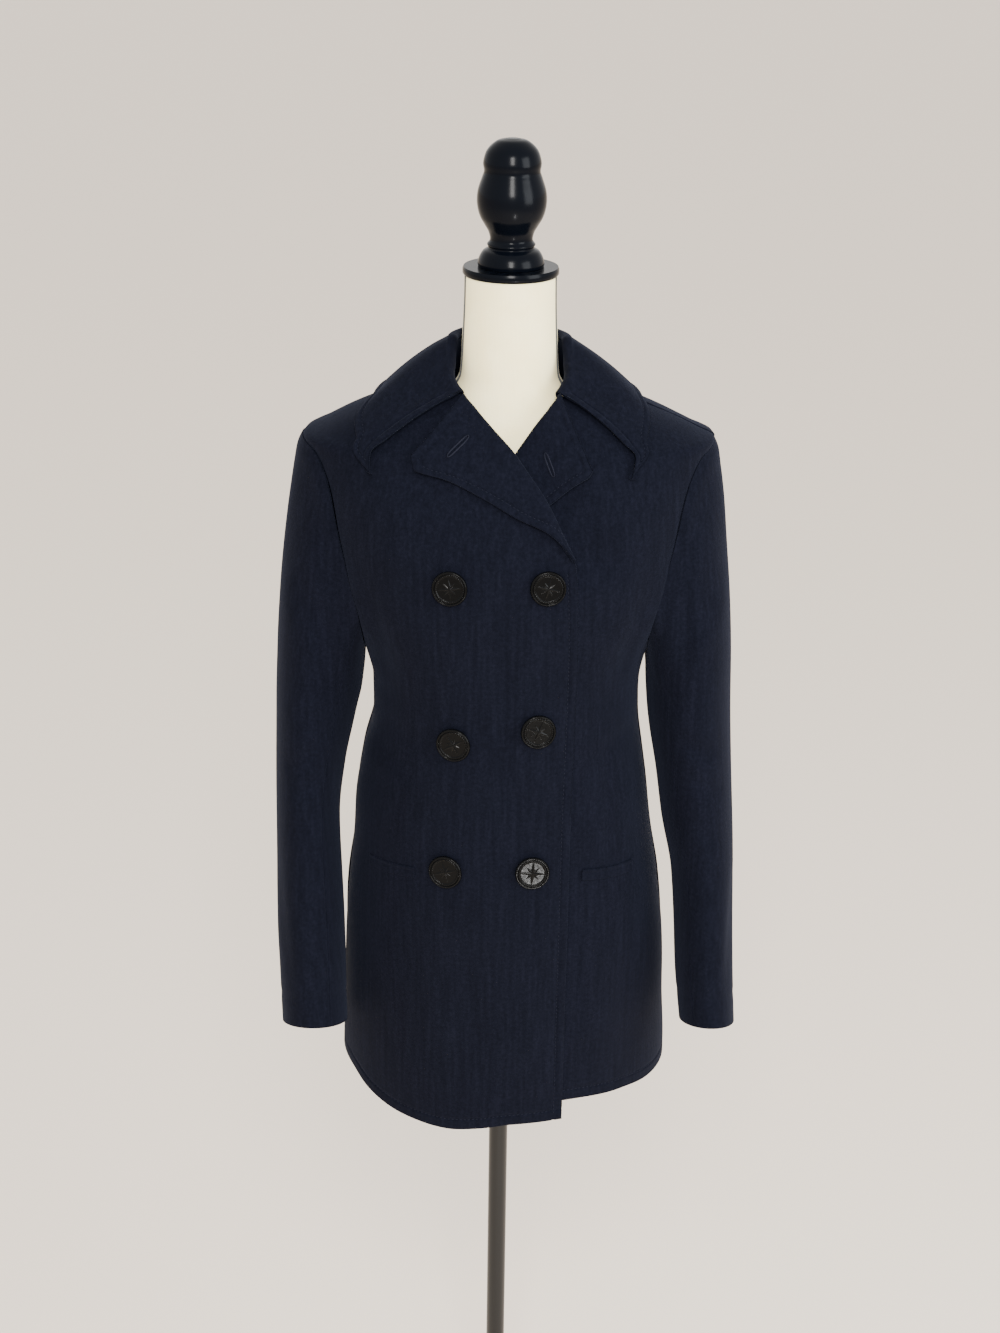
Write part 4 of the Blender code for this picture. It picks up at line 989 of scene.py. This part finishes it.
courses = add_node(jersey_tree, "ShaderNodeTexWave", {
    "Vector": jersey_place, "Scale": 330.0, "Distortion": 1.0}, bands_direction="Z")
knit = add_node(jersey_tree, "ShaderNodeMix", {0: 0.5, 2: wales.outputs["Fac"], 3: courses.outputs["Fac"]})
jersey_bump = add_node(jersey_tree, "ShaderNodeBump", {
    "Height": knit.outputs[0], "Strength": 0.35, "Distance": 0.0003})
jersey_tree.links.new(jersey_bump.outputs["Normal"], jersey_shader.inputs["Normal"])
jersey_tone = add_node(jersey_tree, "ShaderNodeTexNoise", {
    "Vector": jersey_place, "Scale": 45.0, "Detail": 4.0})
jersey_colour = ramp_node(jersey_tree, jersey_tone.outputs["Fac"], (
    (0.3, (0.93, 0.82, 0.46)), (0.7, (0.97, 0.87, 0.52))))
# Painted shade: a narrow dark band down each side of the form stands in for the shadow along the neck's edges.
split = add_node(jersey_tree, "ShaderNodeSeparateXYZ", {"Vector": jersey_place}).outputs["Y"]
from_side = add_node(jersey_tree, "ShaderNodeMath", {0: split, 1: -0.009}, operation="SUBTRACT")
from_side = add_node(jersey_tree, "ShaderNodeMath", {0: from_side.outputs[0]}, operation="ABSOLUTE")
painted_shade_band = add_node(jersey_tree, "ShaderNodeMath", {0: from_side.outputs[0], 1: 0.004}, operation="LESS_THAN")
sides_with_painted_shade = add_node(jersey_tree, "ShaderNodeMix", {
    0: painted_shade_band.outputs[0], 6: jersey_colour, 7: (0.020, 0.019, 0.018, 1.0)}, data_type="RGBA")
jersey_tree.links.new(sides_with_painted_shade.outputs[2], jersey_shader.inputs["Base Color"])


def closed_rings(name, rings, material):
    """A solid from rings of points, bottom to top, with flat ends."""
    count, around = rings.shape[:2]
    faces = [tuple(range(around)), tuple((count - 1) * around + k for k in range(around))]
    for r in range(count - 1):
        for k in range(around):
            m = (k + 1) % around
            faces.append((r * around + k, r * around + m, (r + 1) * around + m, (r + 1) * around + k))
    return new_piece(name, rings.reshape(-1, 3), faces, material)


form_heights = np.concatenate([np.linspace(0.760, 1.30, 80), np.linspace(1.305, 1.497, 60)])
form_angles = np.linspace(0, 2 * math.pi, 96, endpoint=False)
form_levels, form_turns = np.meshgrid(form_heights, form_angles, indexing="ij")
form_piece = closed_rings("covered_form", oval(DRESS_FORM, form_turns, form_levels), JERSEY)
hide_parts("form_torso")

# ---- Neck plate and finial -------------------------------------------------------------------
# Turned wood under gloss black lacquer: a thin plate caps the neck, and on it stands a finial
# with a bell foot, a narrow bead and a ball.

Turned = namedtuple("Turned", "radius height")
NECK_PLATE = (Turned(0.0440, 1.4973), Turned(0.0453, 1.4990), Turned(0.0453, 1.5030),
              Turned(0.0444, 1.5050))
FINIAL = (
    Turned(0.0308, 1.5053), Turned(0.0312, 1.5090), Turned(0.0292, 1.5150),
    Turned(0.0262, 1.5195), Turned(0.0216, 1.5225), Turned(0.0226, 1.5258),
    Turned(0.0200, 1.5300), Turned(0.0214, 1.5370), Turned(0.0254, 1.5440),
    Turned(0.0298, 1.5520), Turned(0.0324, 1.5630), Turned(0.0318, 1.5750),
    Turned(0.0280, 1.5870), Turned(0.0262, 1.5930), Turned(0.0270, 1.6010),
    Turned(0.0235, 1.6120), Turned(0.0150, 1.6200), Turned(0.0060, 1.6225),
)
LACQUER, lacquer_tree, lacquer_shader = plain_material(
    "black_gloss_lacquer", (0.0012, 0.0018, 0.0034), 0.20, Specular_IOR_Level=0.06)
lacquer_place = add_node(lacquer_tree, "ShaderNodeTexCoord").outputs["Object"]
orange_peel = add_node(lacquer_tree, "ShaderNodeTexNoise", {
    "Vector": lacquer_place, "Scale": 240.0, "Detail": 2.0})
lacquer_bump = add_node(lacquer_tree, "ShaderNodeBump", {
    "Height": orange_peel.outputs["Fac"], "Strength": 0.10, "Distance": 0.0002})
lacquer_tree.links.new(lacquer_bump.outputs["Normal"], lacquer_shader.inputs["Normal"])


def turned(name, profile, material, rounding, around=96):
    """A lathe-turned solid; rounding is the number of steps that smooth each stretch."""
    radii = np.array([row.radius for row in profile])
    heights = np.array([row.height for row in profile])
    marks = np.arange(len(profile))
    if rounding > 1:
        padded_r = np.concatenate([[2 * radii[0] - radii[1]], radii, [2 * radii[-1] - radii[-2]]])
        padded_z = np.concatenate([[2 * heights[0] - heights[1]], heights, [2 * heights[-1] - heights[-2]]])
        fine = np.linspace(0, len(profile) - 1, (len(profile) - 1) * rounding + 1)
        k = np.minimum(fine.astype(int), len(profile) - 2)
        u = fine - marks[k]

        def curve(p):
            a, b, c, d = p[k], p[k + 1], p[k + 2], p[k + 3]
            return 0.5 * (2 * b + (c - a) * u + (2 * a - 5 * b + 4 * c - d) * u ** 2
                          + (3 * b - a - 3 * c + d) * u ** 3)

        radii, heights = curve(padded_r), curve(padded_z)
    turns = np.linspace(0, 2 * math.pi, around, endpoint=False)
    rings = np.stack([radii[:, None] * np.cos(turns), radii[:, None] * np.sin(turns),
                      heights[:, None] + 0 * turns], axis=-1)
    piece = closed_rings(name, rings, material)
    piece.data.set_sharp_from_angle(angle=math.radians(40))
    return piece


for turned_name, node, profile, rounding in (
        ("gloss_neck_plate", "neck_plate", NECK_PLATE, 1), ("gloss_finial", "finial", FINIAL, 6)):
    piece = turned(turned_name, profile, LACQUER, rounding)
    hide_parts(node)

# ---- Pole and foot ---------------------------------------------------------------------------
# A steel pole runs up into the form, and stands in a round cast foot. Both are finished in
# satin black enamel.

FOOT = (Turned(0.1400, 0.0), Turned(0.1420, 0.0040), Turned(0.1400, 0.0120), Turned(0.1300, 0.0170),
        Turned(0.0900, 0.0220), Turned(0.0450, 0.0290), Turned(0.0260, 0.0420),
        Turned(0.0210, 0.0600), Turned(0.0180, 0.0640))
POLE = (Turned(0.0100, 0.0643), Turned(0.0100, 0.7597))
ENAMEL, enamel_tree, enamel_shader = plain_material(
    "black_enamel", (0.0020, 0.0022, 0.0028), 0.34, Specular_IOR_Level=0.30)
enamel_place = add_node(enamel_tree, "ShaderNodeTexCoord").outputs["Object"]
enamel_grain = add_node(enamel_tree, "ShaderNodeTexNoise", {
    "Vector": enamel_place, "Scale": 700.0, "Detail": 3.0})
enamel_bump = add_node(enamel_tree, "ShaderNodeBump", {
    "Height": enamel_grain.outputs["Fac"], "Strength": 0.15, "Distance": 0.0002})
enamel_tree.links.new(enamel_bump.outputs["Normal"], enamel_shader.inputs["Normal"])
for turned_name, node, profile in (("enamel_foot", "base", FOOT), ("enamel_pole", "pole", POLE)):
    piece = turned(turned_name, profile, ENAMEL, 1)
    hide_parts(node)

# ---- Floor, light and camera -----------------------------------------------------------------
# A plain pale floor that runs back out of sight, a tall soft light in front and a wide one from
# the wearer's left, and a camera that looks down on the coat from head height.

floor_mesh = bpy.data.meshes.new("floor")
FLOOR_REACH = 60.0
floor_mesh.from_pydata([(-FLOOR_REACH, -FLOOR_REACH, 0), (FLOOR_REACH, -FLOOR_REACH, 0),
                        (FLOOR_REACH, FLOOR_REACH, 0), (-FLOOR_REACH, FLOOR_REACH, 0)], [], [(0, 1, 2, 3)])
floor = bpy.data.objects.new("floor", floor_mesh)
floor_mesh.materials.append(plain_material("pale_floor", (0.86, 0.750, 0.630), 0.9)[0])
bpy.context.scene.collection.objects.link(floor)
floor.location.z = -0.0005

world = bpy.data.worlds.new("studio")
bpy.context.scene.world = world
world.use_nodes = True
world.node_tree.nodes["Background"].inputs["Color"].default_value = (1.0, 0.985, 0.965, 1.0)
world.node_tree.nodes["Background"].inputs["Strength"].default_value = 1.65


def soft_light(name, place, target, size, power, colour):
    """A rectangular soft light aimed at a point."""
    data = bpy.data.lights.new(name, "AREA")
    data.shape = "RECTANGLE"
    data.size, data.size_y = size
    data.energy = power
    data.color = colour
    light = bpy.data.objects.new(name, data)
    light.location = place
    light.rotation_mode = "QUATERNION"
    light.rotation_quaternion = (Vector(target) - Vector(place)).to_track_quat("-Z", "Y")
    light.visible_camera = False
    bpy.context.scene.collection.objects.link(light)


soft_light("front_light", (0.05, -2.9, 2.75), (0, 0, 1.15), (0.7, 1.4), 180, (1.0, 0.98, 0.95))
soft_light("left_light", (2.3, -1.5, 2.0), (0, 0, 1.1), (1.4, 1.8), 95, (0.93, 0.97, 1.0))
soft_light("low_card", (0.337, -1.444, 0.35), (0.0288, -0.145, 0.9447), (0.11, 0.11), 5, (1.0, 1.0, 1.0))

CAMERA_PLACE = Vector((-0.005, -2.10, 1.95))
CAMERA_TILT = math.radians(22)
CAMERA_ROLL = math.radians(0.8)
camera_data = bpy.data.cameras.new("camera")
camera_data.lens = 61.17
camera_data.sensor_width = 36.0
camera = bpy.data.objects.new("camera", camera_data)
bpy.context.scene.collection.objects.link(camera)
forward = Vector((0, math.cos(CAMERA_TILT), -math.sin(CAMERA_TILT)))
level_up = Vector((0, math.sin(CAMERA_TILT), math.cos(CAMERA_TILT)))
level_right = Vector((1, 0, 0))
up = level_up * math.cos(CAMERA_ROLL) - level_right * math.sin(CAMERA_ROLL)
right = level_right * math.cos(CAMERA_ROLL) + level_up * math.sin(CAMERA_ROLL)
camera.matrix_world = Matrix.Translation(CAMERA_PLACE) @ Matrix((right, up, -forward)).transposed().to_4x4()
bpy.context.scene.camera = camera

bpy.context.view_layer.update()
